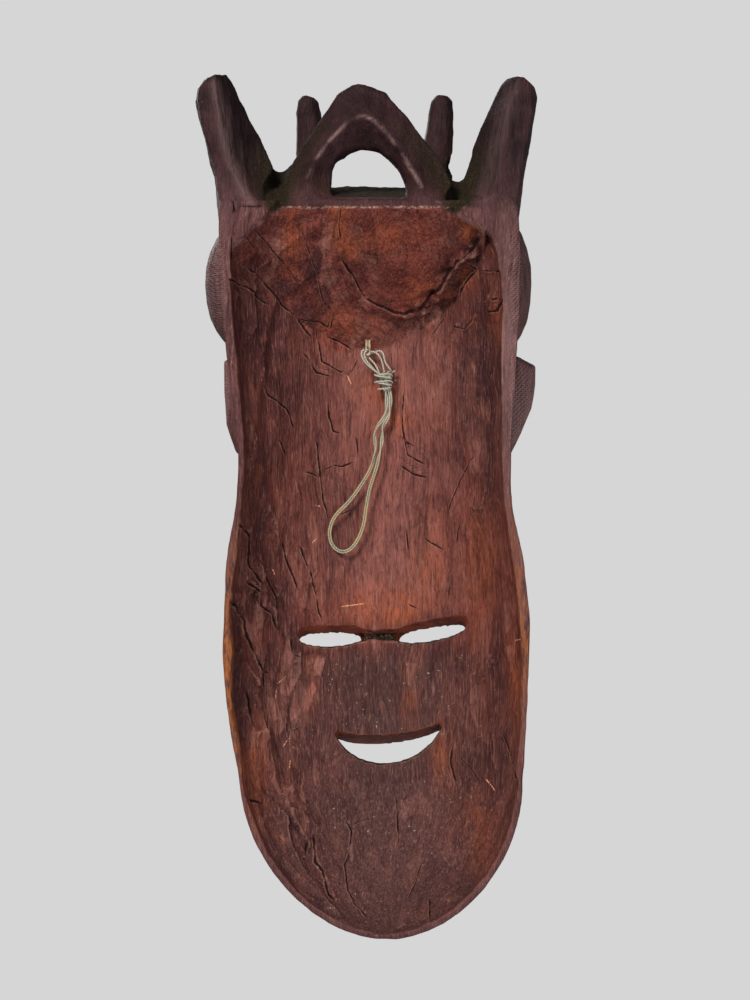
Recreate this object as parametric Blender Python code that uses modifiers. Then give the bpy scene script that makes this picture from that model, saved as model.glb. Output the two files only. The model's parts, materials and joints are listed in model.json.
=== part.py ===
"""Carved wooden mask with four horns and an arched crest, hung by a knotted cord loop on a wire staple.

Metres, +Z up. The face looks along -Y and the hollow back lies in the plane Y = 0, open along +Y.
The origin is on the flat back, on the band between the hollow and the opening in the crest.
The mask, its horns, crest, lobes and ears are one block of wood; the staple and the cord are separate.
"""

import math

import bmesh
import bpy
from mathutils import Matrix, Vector

# ---- Driving dimensions -------------------------------------------------------------------------

CHIN_Z = -0.4255  # lowest point of the rim
CHIN_ARC_Z = -0.330  # below this the outline closes as one round arc
TOUCH_GAP = 0.0003  # clearance kept between pieces that touch

# Outline of the rim: height, half-width on the +X side, half-width on the -X side. Hand carved, so the
# two sides differ and the face drifts towards -X on its way down.
RIM_SIDES = (
    (0.030, 0.0870, 0.0870),
    (0.000, 0.0868, 0.0870),
    (-0.045, 0.0850, 0.0880),
    (-0.092, 0.0810, 0.0850),
    (-0.141, 0.0755, 0.0825),
    (-0.172, 0.0762, 0.0828),
    (-0.207, 0.0812, 0.0892),
    (-0.245, 0.0832, 0.0930),
    (-0.287, 0.0820, 0.0918),
    (-0.330, 0.0748, 0.0893),
    (-0.430, 0.0600, 0.0800),
)
CHIN_CENTRE_X = -0.0108  # middle of the chin
SHELL_DEPTH = (  # height, distance from the flat back to the front of the shell
    (0.030, 0.080),
    (-0.020, 0.083),
    (-0.070, 0.085),
    (-0.130, 0.083),
    (-0.190, 0.078),
    (-0.250, 0.073),
    (-0.300, 0.073),
    (-0.340, 0.070),
    (-0.430, 0.060),
)

# Outline of the hollow at the flat back, and its depth.
HOLLOW_SIDES = (
    (0.030, 0.0750, 0.0600),
    (-0.005, 0.0765, 0.0650),
    (-0.030, 0.0812, 0.0755),
    (-0.060, 0.0800, 0.0785),
    (-0.092, 0.0768, 0.0785),
    (-0.143, 0.0720, 0.0785),
    (-0.184, 0.0742, 0.0808),
    (-0.230, 0.0800, 0.0880),
    (-0.287, 0.0795, 0.0893),
    (-0.325, 0.0735, 0.0870),
    (-0.430, 0.0600, 0.0800),
)
HOLLOW_CHIN_Z = -0.4225
HOLLOW_DEPTH = (
    (0.030, 0.067),
    (-0.090, 0.067),
    (-0.150, 0.066),
    (-0.200, 0.063),
    (-0.255, 0.059),
    (-0.300, 0.058),
    (-0.340, 0.054),
    (-0.430, 0.045),
)
CEILING_TOP = Vector((0.0, 0.0, -0.0022))  # where the slanted ceiling meets the back
CEILING_ANGLE = math.radians(49.7)  # the ceiling's fall below level, towards the face

# Sections are superellipses: 2 is an ellipse, less is nearer to a keel.
FOREHEAD_ROUNDNESS, FACE_ROUNDNESS = 1.75, 2.05
HOLLOW_TOP_ROUNDNESS, HOLLOW_ROUNDNESS = 1.62, 1.95

CROWN_SLOPE = math.tan(math.radians(12.0))  # the crown rises towards the face
CROWN_EDGE = 0.004  # softened edge round the crown
CROWN_BACK_Z = 0.0018  # the crown's height at the flat back, which leaves a band above the hollow

FACE_MIDLINE = (  # height, place of the face's middle
    (0.030, 0.000),
    (-0.120, -0.001),
    (-0.200, -0.004),
    (-0.255, -0.007),
    (-0.321, -0.011),
    (-0.430, -0.010),
)

# Slots through the wall. They fall towards the face, so their upper walls show from the hollow. Their
# outlines are given where the cutters start, inside the hollow.
EYE_START_Y, EYE_FALL = -0.041, math.tan(math.radians(28.0))
EYES = (  # middle x, middle z, half length, half height, lift of the outer end
    (0.0225, -0.2448, 0.0195, 0.0062, -0.0026),
    (-0.0380, -0.2430, 0.0208, 0.0063, 0.0006),
)
BRIDGE_GROOVE = (-0.0070, -0.2530, 0.0150)  # shallow cut that joins the eye slots inside: x, z, half length
MOUTH_START_Y, MOUTH_FALL = -0.046, math.tan(math.radians(20.0))
MOUTH_MIDDLE = (-0.0120, -0.3165)
MOUTH_HALF_LENGTH = 0.0320
MOUTH_ENDS, MOUTH_TOP, MOUTH_BOTTOM = 0.0105, 0.0062, -0.0080  # heights of the ends, upper and lower edge
MOUTH_TILT = 0.0017  # the -X end is higher
SLOT_END_Y = -0.105

# Horns: height, outer edge, ridge on the back, inner edge, front, in the +X sense; mirrored for the -X side.
REAR_HORN_LEFT = (
    (-0.0300, 0.0850, 0.0600, 0.0450, -0.040),
    (-0.0040, 0.0875, 0.0650, 0.0480, -0.040),
    (0.0160, 0.0902, 0.0770, 0.0532, -0.040),
    (0.0240, 0.0925, 0.0815, 0.0560, -0.038),
    (0.0380, 0.0960, 0.0840, 0.0622, -0.035),
    (0.0530, 0.0993, 0.0860, 0.0712, -0.031),
    (0.0630, 0.1010, 0.0878, 0.0765, -0.027),
    (0.0700, 0.1000, 0.0885, 0.0802, -0.024),
    (0.0745, 0.0950, 0.0880, 0.0830, -0.020),
)
REAR_HORN_RIGHT = (
    (-0.0300, 0.0862, 0.0660, 0.0500, -0.040),
    (-0.0040, 0.0882, 0.0690, 0.0515, -0.040),
    (0.0140, 0.0908, 0.0740, 0.0548, -0.040),
    (0.0360, 0.0950, 0.0770, 0.0620, -0.035),
    (0.0530, 0.0977, 0.0800, 0.0690, -0.031),
    (0.0630, 0.0988, 0.0835, 0.0738, -0.027),
    (0.0695, 0.0972, 0.0855, 0.0775, -0.024),
    (0.0730, 0.0920, 0.0860, 0.0812, -0.020),
)
HORN_BACK_INSET = 0.0004  # the horns' backs lie this far in front of the mask's flat back
HORN_TIP_TILT = 0.30  # the inner side of the left horn's tip is higher
FRONT_HORN = (  # height, half width, half depth
    (-0.010, 0.0115, 0.0110),
    (0.020, 0.0102, 0.0098),
    (0.045, 0.0088, 0.0085),
    (0.060, 0.0080, 0.0076),
    (0.0670, 0.0066, 0.0060),
    (0.0700, 0.0034, 0.0030),
)
FRONT_HORNS = ((0.0332, -0.0590, 0.04), (-0.0388, -0.0580, 0.08))  # foot x, foot y, outward lean

# Crest: the arch's outer edge, its ridge on the back, and the edge of its D-shaped opening, from the
# +X foot over the top to the -X foot.
CREST_OUTER = (
    (0.0500, -0.012), (0.0443, 0.0235), (0.0350, 0.0385), (0.0265, 0.0520), (0.0175, 0.0645),
    (0.0050, 0.0708), (-0.0100, 0.0650), (-0.0220, 0.0518), (-0.0325, 0.0378), (-0.0443, 0.0225),
    (-0.0560, -0.012),
)
CREST_RIDGE = (
    (0.0400, -0.012), (0.0350, 0.0150), (0.0285, 0.0255), (0.0215, 0.0350), (0.0130, 0.0445),
    (0.0040, 0.0500), (-0.0050, 0.0475), (-0.0120, 0.0410), (-0.0190, 0.0320), (-0.0260, 0.0220),
    (-0.0320, -0.012),
)
CREST_INNER = (
    (0.0235, -0.012), (0.0215, 0.0110), (0.0212, 0.0190), (0.0190, 0.0250), (0.0120, 0.0300),
    (0.0025, 0.0328), (-0.0065, 0.0305), (-0.0130, 0.0258), (-0.0180, 0.0195), (-0.0215, 0.0110),
    (-0.0245, -0.012),
)
CREST_BACK_FALL = 0.0065  # how far the edges lie in front of the ridge
CREST_DEPTH = 0.030  # thickness of the crest, back to front

# Webs that join each rear horn to the crest. Each has a round valley that falls from the forehead to the
# hollow's rim: x at the rim and forward, lowest height at the rim and forward.
VALLEYS = (
    (0.0550, 0.0523, -0.0072, 0.0245),
    (-0.0505, -0.0526, -0.0080, 0.0182),
)
VALLEY_FRONT_Y = -0.050
VALLEY_RADIUS = 0.0062
WEB_HALF_WIDTH, WEB_RISE, WEB_LOW_Z = 0.0125, 0.0045, -0.010

SIDE_LOBES = (  # middle x, y, z, then radii: the hatched lobes beside the forehead
    ((0.0735, -0.038, -0.0450), (0.0232, 0.034, 0.0385)),
    ((-0.0755, -0.038, -0.0450), (0.0212, 0.034, 0.0420)),
)
EARS = (  # side, then outline of the flange: distance out, height
    (1, ((0.066, -0.086), (0.0845, -0.090), (0.0842, -0.108), (0.0832, -0.128), (0.0775, -0.144), (0.066, -0.150))),
    (-1, ((0.066, -0.084), (0.0885, -0.0875), (0.0985, -0.0930), (0.0980, -0.1045), (0.0960, -0.1180),
          (0.0905, -0.1320), (0.0855, -0.1420), (0.0800, -0.1530), (0.066, -0.158))),
)
EAR_Y, EAR_HALF_THICKNESS = -0.034, 0.0085

# Staple: a narrow U of wire driven up into the foot of the slanted ceiling.
STAPLE_WIRE = 0.0007  # wire radius
STAPLE_HALF_SPAN = 0.0021  # half the distance between the legs' middles
STAPLE_FOOT = Vector((0.0002, -0.0625, -0.0759))  # between the legs, on the ceiling
STAPLE_FALL = math.radians(60.0)  # the legs' fall below level on their way out of the wood
STAPLE_PROUD = 0.0105  # from the wood to the middle of the crown's wire
STAPLE_BURIED = 0.0100

# Cord, tied double. The solids stand for strands that lie side by side.
BRIDLE_RADIUS = 0.0011  # the strands through the staple
LOOP_RADIUS = 0.0012  # a pair of strands
KNOT_RADII = (0.0053, 0.0048, 0.0056)
KNOT_MIDDLE = (-0.0096, 0.0000, -0.0162)  # from the staple's crown
# Runs of the bridle between the turn over the staple and the knot, from the staple's crown.
BRIDLE_FRONT = ((0.0000, 0.0021, -0.0026), (-0.0036, 0.0019, -0.0046), (-0.0076, 0.0012, -0.0066),
                (-0.0098, 0.0004, -0.0096))
BRIDLE_BACK = ((0.0000, -0.0021, -0.0026), (0.0016, -0.0014, -0.0050), (-0.0006, -0.0006, -0.0082),
               (-0.0046, -0.0002, -0.0104))
# Middle of the pair of strands: down from the knot, round the drop-shaped loop and up again, from the
# staple's crown.
LOOP_ROUTE = (
    (-0.0104, 0.0000, -0.0226),
    (-0.0111, 0.0000, -0.0270),
    (-0.0107, 0.0000, -0.0323),
    (-0.0096, 0.0000, -0.0375),
    (-0.0060, 0.0000, -0.0420),
    (-0.0038, -0.0002, -0.0465),
    (-0.0042, -0.0006, -0.0515),
    (-0.0045, -0.0009, -0.0575),
    (-0.0034, -0.0010, -0.0630),
    (-0.0014, -0.0008, -0.0690),
    (0.0060, 0.0002, -0.0809),
    (0.0120, 0.0010, -0.0887),
    (0.0196, 0.0016, -0.0964),
    (0.0228, 0.0018, -0.1040),
    (0.0226, 0.0018, -0.1114),
    (0.0190, 0.0016, -0.1170),
    (0.0140, 0.0014, -0.1184),
    (0.0098, 0.0012, -0.1160),
    (0.0060, 0.0012, -0.1108),
    (0.0026, 0.0012, -0.1018),
    (0.0012, 0.0012, -0.0922),
    (-0.0008, 0.0014, -0.0810),
    (-0.0032, 0.0016, -0.0735),
    (-0.0053, 0.0018, -0.0670),
    (-0.0066, 0.0018, -0.0610),
    (-0.0079, 0.0014, -0.0550),
    (-0.0086, 0.0008, -0.0500),
    (-0.0084, 0.0002, -0.0456),
    (-0.0094, 0.0000, -0.0414),
    (-0.0124, 0.0000, -0.0378),
    (-0.0135, 0.0000, -0.0323),
    (-0.0139, 0.0000, -0.0270),
    (-0.0133, 0.0000, -0.0222),
)

WOOD_COLOUR = (0.150, 0.045, 0.028, 1.0)
STEEL_COLOUR = (0.42, 0.38, 0.31, 1.0)
CORD_COLOUR = (0.34, 0.31, 0.21, 1.0)


# ---- Scene and small helpers --------------------------------------------------------------------


def clear_scene():
    for obj in list(bpy.data.objects):
        bpy.data.objects.remove(obj, do_unlink=True)


def new_collection(name):
    collection = bpy.data.collections.new(name)
    bpy.context.scene.collection.children.link(collection)
    return collection


def material(name, colour, roughness, metallic=0.0):
    mat = bpy.data.materials.new(name)
    mat.use_nodes = True
    shader = mat.node_tree.nodes["Principled BSDF"]
    shader.inputs["Base Color"].default_value = colour
    shader.inputs["Roughness"].default_value = roughness
    shader.inputs["Metallic"].default_value = metallic
    return mat


def smooth_value(table, z):
    """The value at z on a smooth curve through (z, value) rows that run downwards."""
    rows = [(row[0], row[1]) for row in table]
    z = min(max(z, rows[-1][0]), rows[0][0])
    i = next(k for k in range(len(rows) - 1) if z >= rows[k + 1][0])
    (z0, v0), (z1, v1) = rows[i], rows[i + 1]

    def slope(k):
        a, b = rows[max(k - 1, 0)], rows[min(k + 1, len(rows) - 1)]
        return (b[1] - a[1]) / (b[0] - a[0])

    span = z1 - z0
    t = (z - z0) / span
    return (
        (2 * t**3 - 3 * t**2 + 1) * v0
        + (t**3 - 2 * t**2 + t) * span * slope(i)
        + (3 * t**2 - 2 * t**3) * v1
        + (t**3 - t**2) * span * slope(i + 1)
    )


def blend(a, b, t):
    return a + (b - a) * min(max(t, 0.0), 1.0)


def bump(value, middle, width):
    return math.exp(-(((value - middle) / width) ** 2))


def loft(name, rings, collection):
    """A closed solid through rings of equal point count, with flat ends."""
    bm = bmesh.new()
    loops = [[bm.verts.new(p) for p in ring] for ring in rings]
    count = len(rings[0])
    for low, high in zip(loops, loops[1:]):
        for i in range(count):
            j = (i + 1) % count
            bm.faces.new((low[i], low[j], high[j], high[i]))
    bm.faces.new(loops[0])
    bm.faces.new(loops[-1])
    bmesh.ops.recalc_face_normals(bm, faces=bm.faces)
    return object_from(bm, name, collection)


def object_from(bm, name, collection):
    mesh = bpy.data.meshes.new(name)
    bm.to_mesh(mesh)
    bm.free()
    obj = bpy.data.objects.new(name, mesh)
    collection.objects.link(obj)
    return obj


def as_cutter(obj):
    obj.hide_render = True
    obj.display_type = "WIRE"
    return obj


def boolean(target, other, operation):
    mod = target.modifiers.new(f"{operation.lower()}_{other.name}", "BOOLEAN")
    mod.operation = operation
    mod.object = other


def cone_between(name, start, end, start_radius, end_radius, collection, sides=20):
    """A tapered round bar from one point to another."""
    bm = bmesh.new()
    axis = end - start
    turn = axis.to_track_quat("Z", "Y").to_matrix().to_4x4()
    place = Matrix.Translation((start + end) / 2) @ turn
    bmesh.ops.create_cone(
        bm, cap_ends=True, segments=sides, radius1=start_radius, radius2=end_radius,
        depth=axis.length, matrix=place,
    )
    return object_from(bm, name, collection)


def ellipsoid(name, middle, radii, collection, segments=24, rings=14):
    bm = bmesh.new()
    bmesh.ops.create_uvsphere(bm, u_segments=segments, v_segments=rings, radius=1.0)
    bmesh.ops.scale(bm, vec=radii, verts=bm.verts)
    bmesh.ops.translate(bm, vec=middle, verts=bm.verts)
    return object_from(bm, name, collection)


def wire(name, points, radius, collection, mat=None):
    """A round wire or cord through the points, with closed ends."""
    curve = bpy.data.curves.new(name, "CURVE")
    curve.dimensions = "3D"
    curve.bevel_depth = radius
    curve.bevel_resolution = 2
    curve.use_fill_caps = True
    line = curve.splines.new("POLY")
    line.points.add(len(points) - 1)
    for place, p in zip(line.points, points):
        place.co = (*p, 1.0)
    obj = bpy.data.objects.new(name, curve)
    collection.objects.link(obj)
    if mat:
        curve.materials.append(mat)
    return obj


def smooth_route(points, spacing):
    """Points about one spacing apart on a smooth curve through the route's points."""
    pts = [Vector(p) for p in points]
    pts = [2 * pts[0] - pts[1], *pts, 2 * pts[-1] - pts[-2]]
    route = []
    for a, b, c, d in zip(pts, pts[1:], pts[2:], pts[3:]):
        steps = max(1, round((c - b).length / spacing))
        for k in range(steps):
            t = k / steps
            route.append(
                0.5 * (2 * b + (c - a) * t + (2 * a - 5 * b + 4 * c - d) * t**2
                       + (3 * b - a - 3 * c + d) * t**3)
            )
    route.append(pts[-2])
    return route


# ---- Shell --------------------------------------------------------------------------------------


def half_section(left, right, depth, roundness, columns):
    """Points from the +X rim round the front to the -X rim, closer together in the middle."""
    points = []
    for i in range(columns):
        u = 2 * i / (columns - 1) - 1
        angle = (0.72 * u + 0.28 * u**3) * math.pi / 2
        side = left if angle < 0 else right
        x = -math.copysign(abs(math.sin(angle)) ** (2 / roundness), angle) * side
        y = -depth * max(math.cos(angle), 0.0) ** (2 / roundness)
        points.append((x, y))
    return points


def chin_share(z, low_z, sharpness, power):
    """1 where the chin's round arc starts, falling to 0 at low_z."""
    drop = min(max((CHIN_ARC_Z - z) / (CHIN_ARC_Z - low_z), 0.0), 1.0)
    return (1 - drop**sharpness) ** power


def outline_at(sides, z, low_z):
    """Middle x and half-widths of an outline at height z, closed round the chin."""
    held = max(z, CHIN_ARC_Z)
    left = smooth_value([(r[0], r[1]) for r in sides], held)
    right = smooth_value([(r[0], r[2]) for r in sides], held)
    if z >= CHIN_ARC_Z:
        return 0.0, left, right
    share = chin_share(z, low_z, 1.92, 0.54)
    drop = (CHIN_ARC_Z - z) / (CHIN_ARC_Z - low_z)
    middle = blend((left - right) / 2, CHIN_CENTRE_X, drop)
    half = (left + right) / 2 * share
    return middle, half, half


def face_relief(x, z):
    """How far the calm, stylised face stands forward of the plain shell at a place on the front."""
    dx = x - smooth_value(FACE_MIDLINE, z)
    side = abs(dx)
    up_nose = (z + 0.301) / 0.068  # 0 at the nose's tip, 1 at its bridge
    nose_window = min(max((z + 0.309) / 0.009, 0.0), 1.0) * (1 - min(max(up_nose - 0.95, 0.0) / 0.35, 1.0))
    nose = blend(0.0165, 0.0065, up_nose) * bump(side, 0, blend(0.0125, 0.0085, up_nose)) * nose_window
    brow_z = -0.2345 - 0.09 * max(side - 0.030, 0.0) - 0.10 * max(0.016 - side, 0.0)
    brow = 0.0060 * bump(z, brow_z, 0.0075) * bump(side, 0.022, 0.040)
    socket = -0.0050 * bump(z, -0.2560, 0.0120) * bump(side, 0.031, 0.021)
    cheek = 0.0045 * bump(z, -0.291, 0.024) * bump(side, 0.042, 0.020)
    lips = 0.0066 * bump(z, -0.3275 + 4.0 * dx**2, 0.0140) * math.exp(-((side / 0.036) ** 4))
    chin = 0.0060 * bump(z, -0.372, 0.020) * bump(side, 0, 0.028)
    ridge = 0.0030 * bump(side, 0, 0.011) * bump(z, -0.135, 0.085)
    return nose + brow + socket + cheek + lips + chin + ridge


def shell_ring(z, tilt, inset, columns):
    """One closed section of the shell: round the front and straight across the flat back."""
    middle, left, right = outline_at(RIM_SIDES, z, CHIN_Z)
    depth = smooth_value(SHELL_DEPTH, z) * chin_share(z, CHIN_Z, 2.4, 0.5)
    roundness = blend(FOREHEAD_ROUNDNESS, FACE_ROUNDNESS, (-0.06 - z) / 0.15)
    ring = []
    for x, y in half_section(left - inset, right - inset, depth - inset, roundness, columns):
        forward = face_relief(middle + x, z) * (y / depth) ** 2
        y -= forward
        ring.append((middle + x, y, z - tilt * y))
    return ring


def build_shell(parts):
    columns = 37
    chin_rows = [CHIN_Z + d for d in (0.0003, 0.002, 0.005, 0.0095, 0.0155, 0.0225, 0.030, 0.038, 0.0465)]
    step = 0.0066
    face_rows = [chin_rows[-1] + step * (k + 1) for k in range(48)]
    face_rows = [z for z in face_rows if z < -0.062]
    rings = [shell_ring(z, 0.0, 0.0, columns) for z in chin_rows + face_rows]
    crown_rows = 6
    for k in range(crown_rows + 1):
        t = k / crown_rows
        row = blend(-0.056, CROWN_BACK_Z - CROWN_EDGE, t)
        rings.append(shell_ring(row, CROWN_SLOPE * t, 0.0, columns))
    rings.append(shell_ring(CROWN_BACK_Z - 0.3 * CROWN_EDGE, CROWN_SLOPE, 0.3 * CROWN_EDGE, columns))
    rings.append(shell_ring(CROWN_BACK_Z, CROWN_SLOPE, CROWN_EDGE, columns))
    return loft("mask_body", rings, parts)


def build_hollow(cutters):
    """The hollow's cutter: a trough closed round the chin and bounded above by the slanted ceiling."""
    columns = 25
    past_back = 0.010
    chin_rows = [HOLLOW_CHIN_Z + d for d in (0.0004, 0.003, 0.008, 0.015, 0.024, 0.034, 0.045)]
    step = 0.0105
    rows = chin_rows + [chin_rows[-1] + step * (k + 1) for k in range(40)]
    rings = []
    for z in [row for row in rows if row < 0.020]:
        middle, left, right = outline_at(HOLLOW_SIDES, z, HOLLOW_CHIN_Z)
        depth = smooth_value(HOLLOW_DEPTH, z) * chin_share(z, HOLLOW_CHIN_Z, 1.7, 0.6)
        roundness = blend(HOLLOW_TOP_ROUNDNESS, HOLLOW_ROUNDNESS, (-0.09 - z) / 0.16)
        section = half_section(left, right, depth, roundness, columns)
        ring = [(middle + x, y, z) for x, y in section]
        ring[0] = (ring[0][0], past_back, z)
        ring[-1] = (ring[-1][0], past_back, z)
        rings.append(ring)
    hollow = loft("hollow_cutter", rings, cutters)
    bm = bmesh.new()
    bm.from_mesh(hollow.data)
    up_normal = Vector((0, -math.sin(CEILING_ANGLE), math.cos(CEILING_ANGLE)))
    cut = bmesh.ops.bisect_plane(
        bm, geom=bm.verts[:] + bm.edges[:] + bm.faces[:], dist=1e-7,
        plane_co=CEILING_TOP, plane_no=up_normal, clear_outer=True,
    )
    rim = [e for e in cut["geom_cut"] if isinstance(e, bmesh.types.BMEdge)]
    bmesh.ops.contextual_create(bm, geom=rim)
    bmesh.ops.recalc_face_normals(bm, faces=bm.faces)
    bm.to_mesh(hollow.data)
    bm.free()
    return as_cutter(hollow)


def slot_cutter(name, outline, start_y, fall, cutters):
    """A slot through the wall whose outline, given inside, falls on its way to the face."""
    rings = []
    for y in (start_y, SLOT_END_Y):
        rings.append([(x, y, z - fall * (start_y - y)) for x, z in outline])
    return as_cutter(loft(name, rings, cutters))


def eye_outline(x, z, half_length, half_height, lift):
    outward = 1 if x > -0.007 else -1
    points = []
    steps = 16
    for k in range(steps):
        a = 2 * math.pi * k / steps
        along = math.cos(a)
        across = math.copysign(abs(math.sin(a)) ** 0.5, math.sin(a))
        points.append((x + half_length * along, z + half_height * across + lift * along * outward))
    return points


def mouth_outline():
    """A crescent: the upper edge sags a little between the ends, the lower edge a lot."""
    x0, z0 = MOUTH_MIDDLE
    steps = 10
    upper, lower = [], []
    for k in range(steps + 1):
        u = 1 - 2 * k / steps
        ends = z0 + MOUTH_ENDS - MOUTH_TILT * u
        sag = (1 - abs(u) ** 2.2) ** 0.8
        upper.append((x0 + MOUTH_HALF_LENGTH * u, ends + (MOUTH_TOP - MOUTH_ENDS) * sag + 0.0014))
        lower.append((x0 + MOUTH_HALF_LENGTH * u, ends + (MOUTH_BOTTOM - MOUTH_ENDS) * sag - 0.0014))
    return upper + lower[::-1]


# ---- Horns, crest, lobes and ears ---------------------------------------------------------------


def oval_ring(low, high, z, roundness=2.4, points=14):
    """A rounded section between two corners (x, y) at height z."""
    cx, cy = (low[0] + high[0]) / 2, (low[1] + high[1]) / 2
    rx, ry = abs(high[0] - low[0]) / 2, abs(high[1] - low[1]) / 2
    ring = []
    for k in range(points):
        a = 2 * math.pi * k / points
        x = math.copysign(abs(math.cos(a)) ** (2 / roundness), math.cos(a))
        y = math.copysign(abs(math.sin(a)) ** (2 / roundness), math.sin(a))
        ring.append((cx + rx * x, cy + ry * y, z))
    return ring


def build_rear_horn(name, stations, side, tip_tilt, cutters):
    """A horn whose back has a ridge: flat outside it, and falling forward to the inner edge inside it."""
    rings = []
    for z, outer, ridge, inner, front in stations:
        taper = HORN_BACK_INSET + 0.05 * max(z, 0.0)  # the back leans forward towards the tip
        width = outer - inner
        section = (
            (outer - 0.0020, -0.0035), (ridge, 0.0), (ridge + 0.45 * (inner - ridge), 0.22 * front),
            (inner, 0.50 * front), (inner + 0.05 * width, 0.78 * front), (inner + 0.30 * width, front),
            (outer - 0.30 * width, front), (outer - 0.05 * width, 0.80 * front), (outer, 0.45 * front),
        )
        tilt = tip_tilt * min(max((z - 0.040) / 0.030, 0.0), 1.0)
        middle = (outer + inner) / 2
        rings.append([(side * x, y - taper, z + tilt * (middle - x)) for x, y in section])
    return as_cutter(loft(name, rings, cutters))


def build_front_horn(name, foot_x, foot_y, lean, cutters):
    out = math.copysign(lean, foot_x)
    rings = []
    for z, half_x, half_y in FRONT_HORN:
        x = foot_x + out * max(z, 0.0)
        rings.append(oval_ring((x - half_x, foot_y - half_y), (x + half_x, foot_y + half_y), z, 2.2, 12))
    return as_cutter(loft(name, rings, cutters))


def build_crest(cutters):
    """The arch: a bar whose back has a ridge between two falling facets."""
    rings = []
    for outer, ridge, inner in zip(CREST_OUTER, CREST_RIDGE, CREST_INNER):
        middle = ((outer[0] + inner[0]) / 2, (outer[1] + inner[1]) / 2)
        rings.append([
            (outer[0], -CREST_BACK_FALL, outer[1]),
            (ridge[0], 0.0, ridge[1]),
            (inner[0], -0.8 * CREST_BACK_FALL, inner[1]),
            (inner[0], CREST_BACK_FALL - CREST_DEPTH, inner[1]),
            (middle[0], -CREST_DEPTH, middle[1]),
            (outer[0], CREST_BACK_FALL - CREST_DEPTH, outer[1]),
        ])
    crest = as_cutter(loft("crest_form", rings, cutters))
    edge = crest.modifiers.new("soft_edges", "BEVEL")
    edge.width = 0.0016
    edge.segments = 1
    edge.limit_method = "ANGLE"
    edge.angle_limit = math.radians(35)
    return crest


def build_ear(name, side, outline, cutters):
    rings = []
    for y, share in ((-EAR_HALF_THICKNESS, 0.90), (-0.55 * EAR_HALF_THICKNESS, 1.0),
                     (0.55 * EAR_HALF_THICKNESS, 1.0), (EAR_HALF_THICKNESS, 0.90)):
        middle_z = sum(z for _, z in outline) / len(outline)
        root = outline[0][0]
        rings.append([
            (side * (root + (x - root) * share), EAR_Y + y, middle_z + (z - middle_z) * share)
            for x, z in outline
        ])
    return as_cutter(loft(name, rings, cutters))


def valley_place(valley, y, rise):
    """A point over a valley's lowest line, rise above it, at depth y."""
    rim_x, front_x, rim_z, front_z = valley
    t = y / VALLEY_FRONT_Y
    return Vector((rim_x + (front_x - rim_x) * t, y, rim_z + (front_z - rim_z) * t + rise))


def build_web(name, valley, cutters):
    rings = []
    for y in (-0.003, 0.5 * VALLEY_FRONT_Y, VALLEY_FRONT_Y):
        top = valley_place(valley, y, WEB_RISE)
        low, high = top.x - WEB_HALF_WIDTH, top.x + WEB_HALF_WIDTH
        rings.append([(low, y, WEB_LOW_Z), (high, y, WEB_LOW_Z), (high, y, top.z), (low, y, top.z)])
    return as_cutter(loft(name, rings, cutters))


def build_valley(name, valley, cutters):
    _, _, rim_z, front_z = valley
    slope = math.atan2(front_z - rim_z, -VALLEY_FRONT_Y)
    rise = VALLEY_RADIUS / math.cos(slope)
    start = valley_place(valley, 0.012, rise)
    end = valley_place(valley, VALLEY_FRONT_Y - 0.012, rise)
    return as_cutter(cone_between(name, start, end, VALLEY_RADIUS, VALLEY_RADIUS, cutters))


def build_mask(parts, cutters):
    mask = build_shell(parts)
    mask.data.materials.append(material("carved_wood", WOOD_COLOUR, 0.55))

    for i, (middle, radii) in enumerate(SIDE_LOBES):
        boolean(mask, as_cutter(ellipsoid(f"side_lobe_{i}", middle, radii, cutters, 18, 12)), "UNION")
    for i, (side, outline) in enumerate(EARS):
        boolean(mask, build_ear(f"ear_flange_{i}", side, outline, cutters), "UNION")
    boolean(mask, build_rear_horn("rear_horn_left", REAR_HORN_LEFT, 1, HORN_TIP_TILT, cutters), "UNION")
    boolean(mask, build_rear_horn("rear_horn_right", REAR_HORN_RIGHT, -1, 0.0, cutters), "UNION")
    boolean(mask, build_crest(cutters), "UNION")
    for i, (x, y, lean) in enumerate(FRONT_HORNS):
        boolean(mask, build_front_horn(f"front_horn_{i}", x, y, lean, cutters), "UNION")

    for i, valley in enumerate(VALLEYS):
        boolean(mask, build_web(f"web_{i}", valley, cutters), "UNION")
    for i, valley in enumerate(VALLEYS):
        boolean(mask, build_valley(f"valley_{i}", valley, cutters), "DIFFERENCE")
    boolean(mask, build_hollow(cutters), "DIFFERENCE")
    for i, eye in enumerate(EYES):
        slot = slot_cutter(f"eye_slot_{i}", eye_outline(*eye), EYE_START_Y, EYE_FALL, cutters)
        boolean(mask, slot, "DIFFERENCE")
    x, z, reach = BRIDGE_GROOVE
    groove_depth = smooth_value(HOLLOW_DEPTH, z) + 0.0008
    groove = cone_between(
        "bridge_groove", Vector((x - reach, -groove_depth, z)), Vector((x + reach, -groove_depth, z)),
        0.0032, 0.0032, cutters, 10,
    )
    boolean(mask, as_cutter(groove), "DIFFERENCE")
    mouth = slot_cutter("mouth_slot", mouth_outline(), MOUTH_START_Y, MOUTH_FALL, cutters)
    boolean(mask, mouth, "DIFFERENCE")
    return mask


# ---- Staple and cord ----------------------------------------------------------------------------


def staple_frame():
    """Out of the wood, and where the middle of the crown's wire lies."""
    out = Vector((0, math.cos(STAPLE_FALL), -math.sin(STAPLE_FALL)))
    return out, STAPLE_FOOT + out * STAPLE_PROUD


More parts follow.
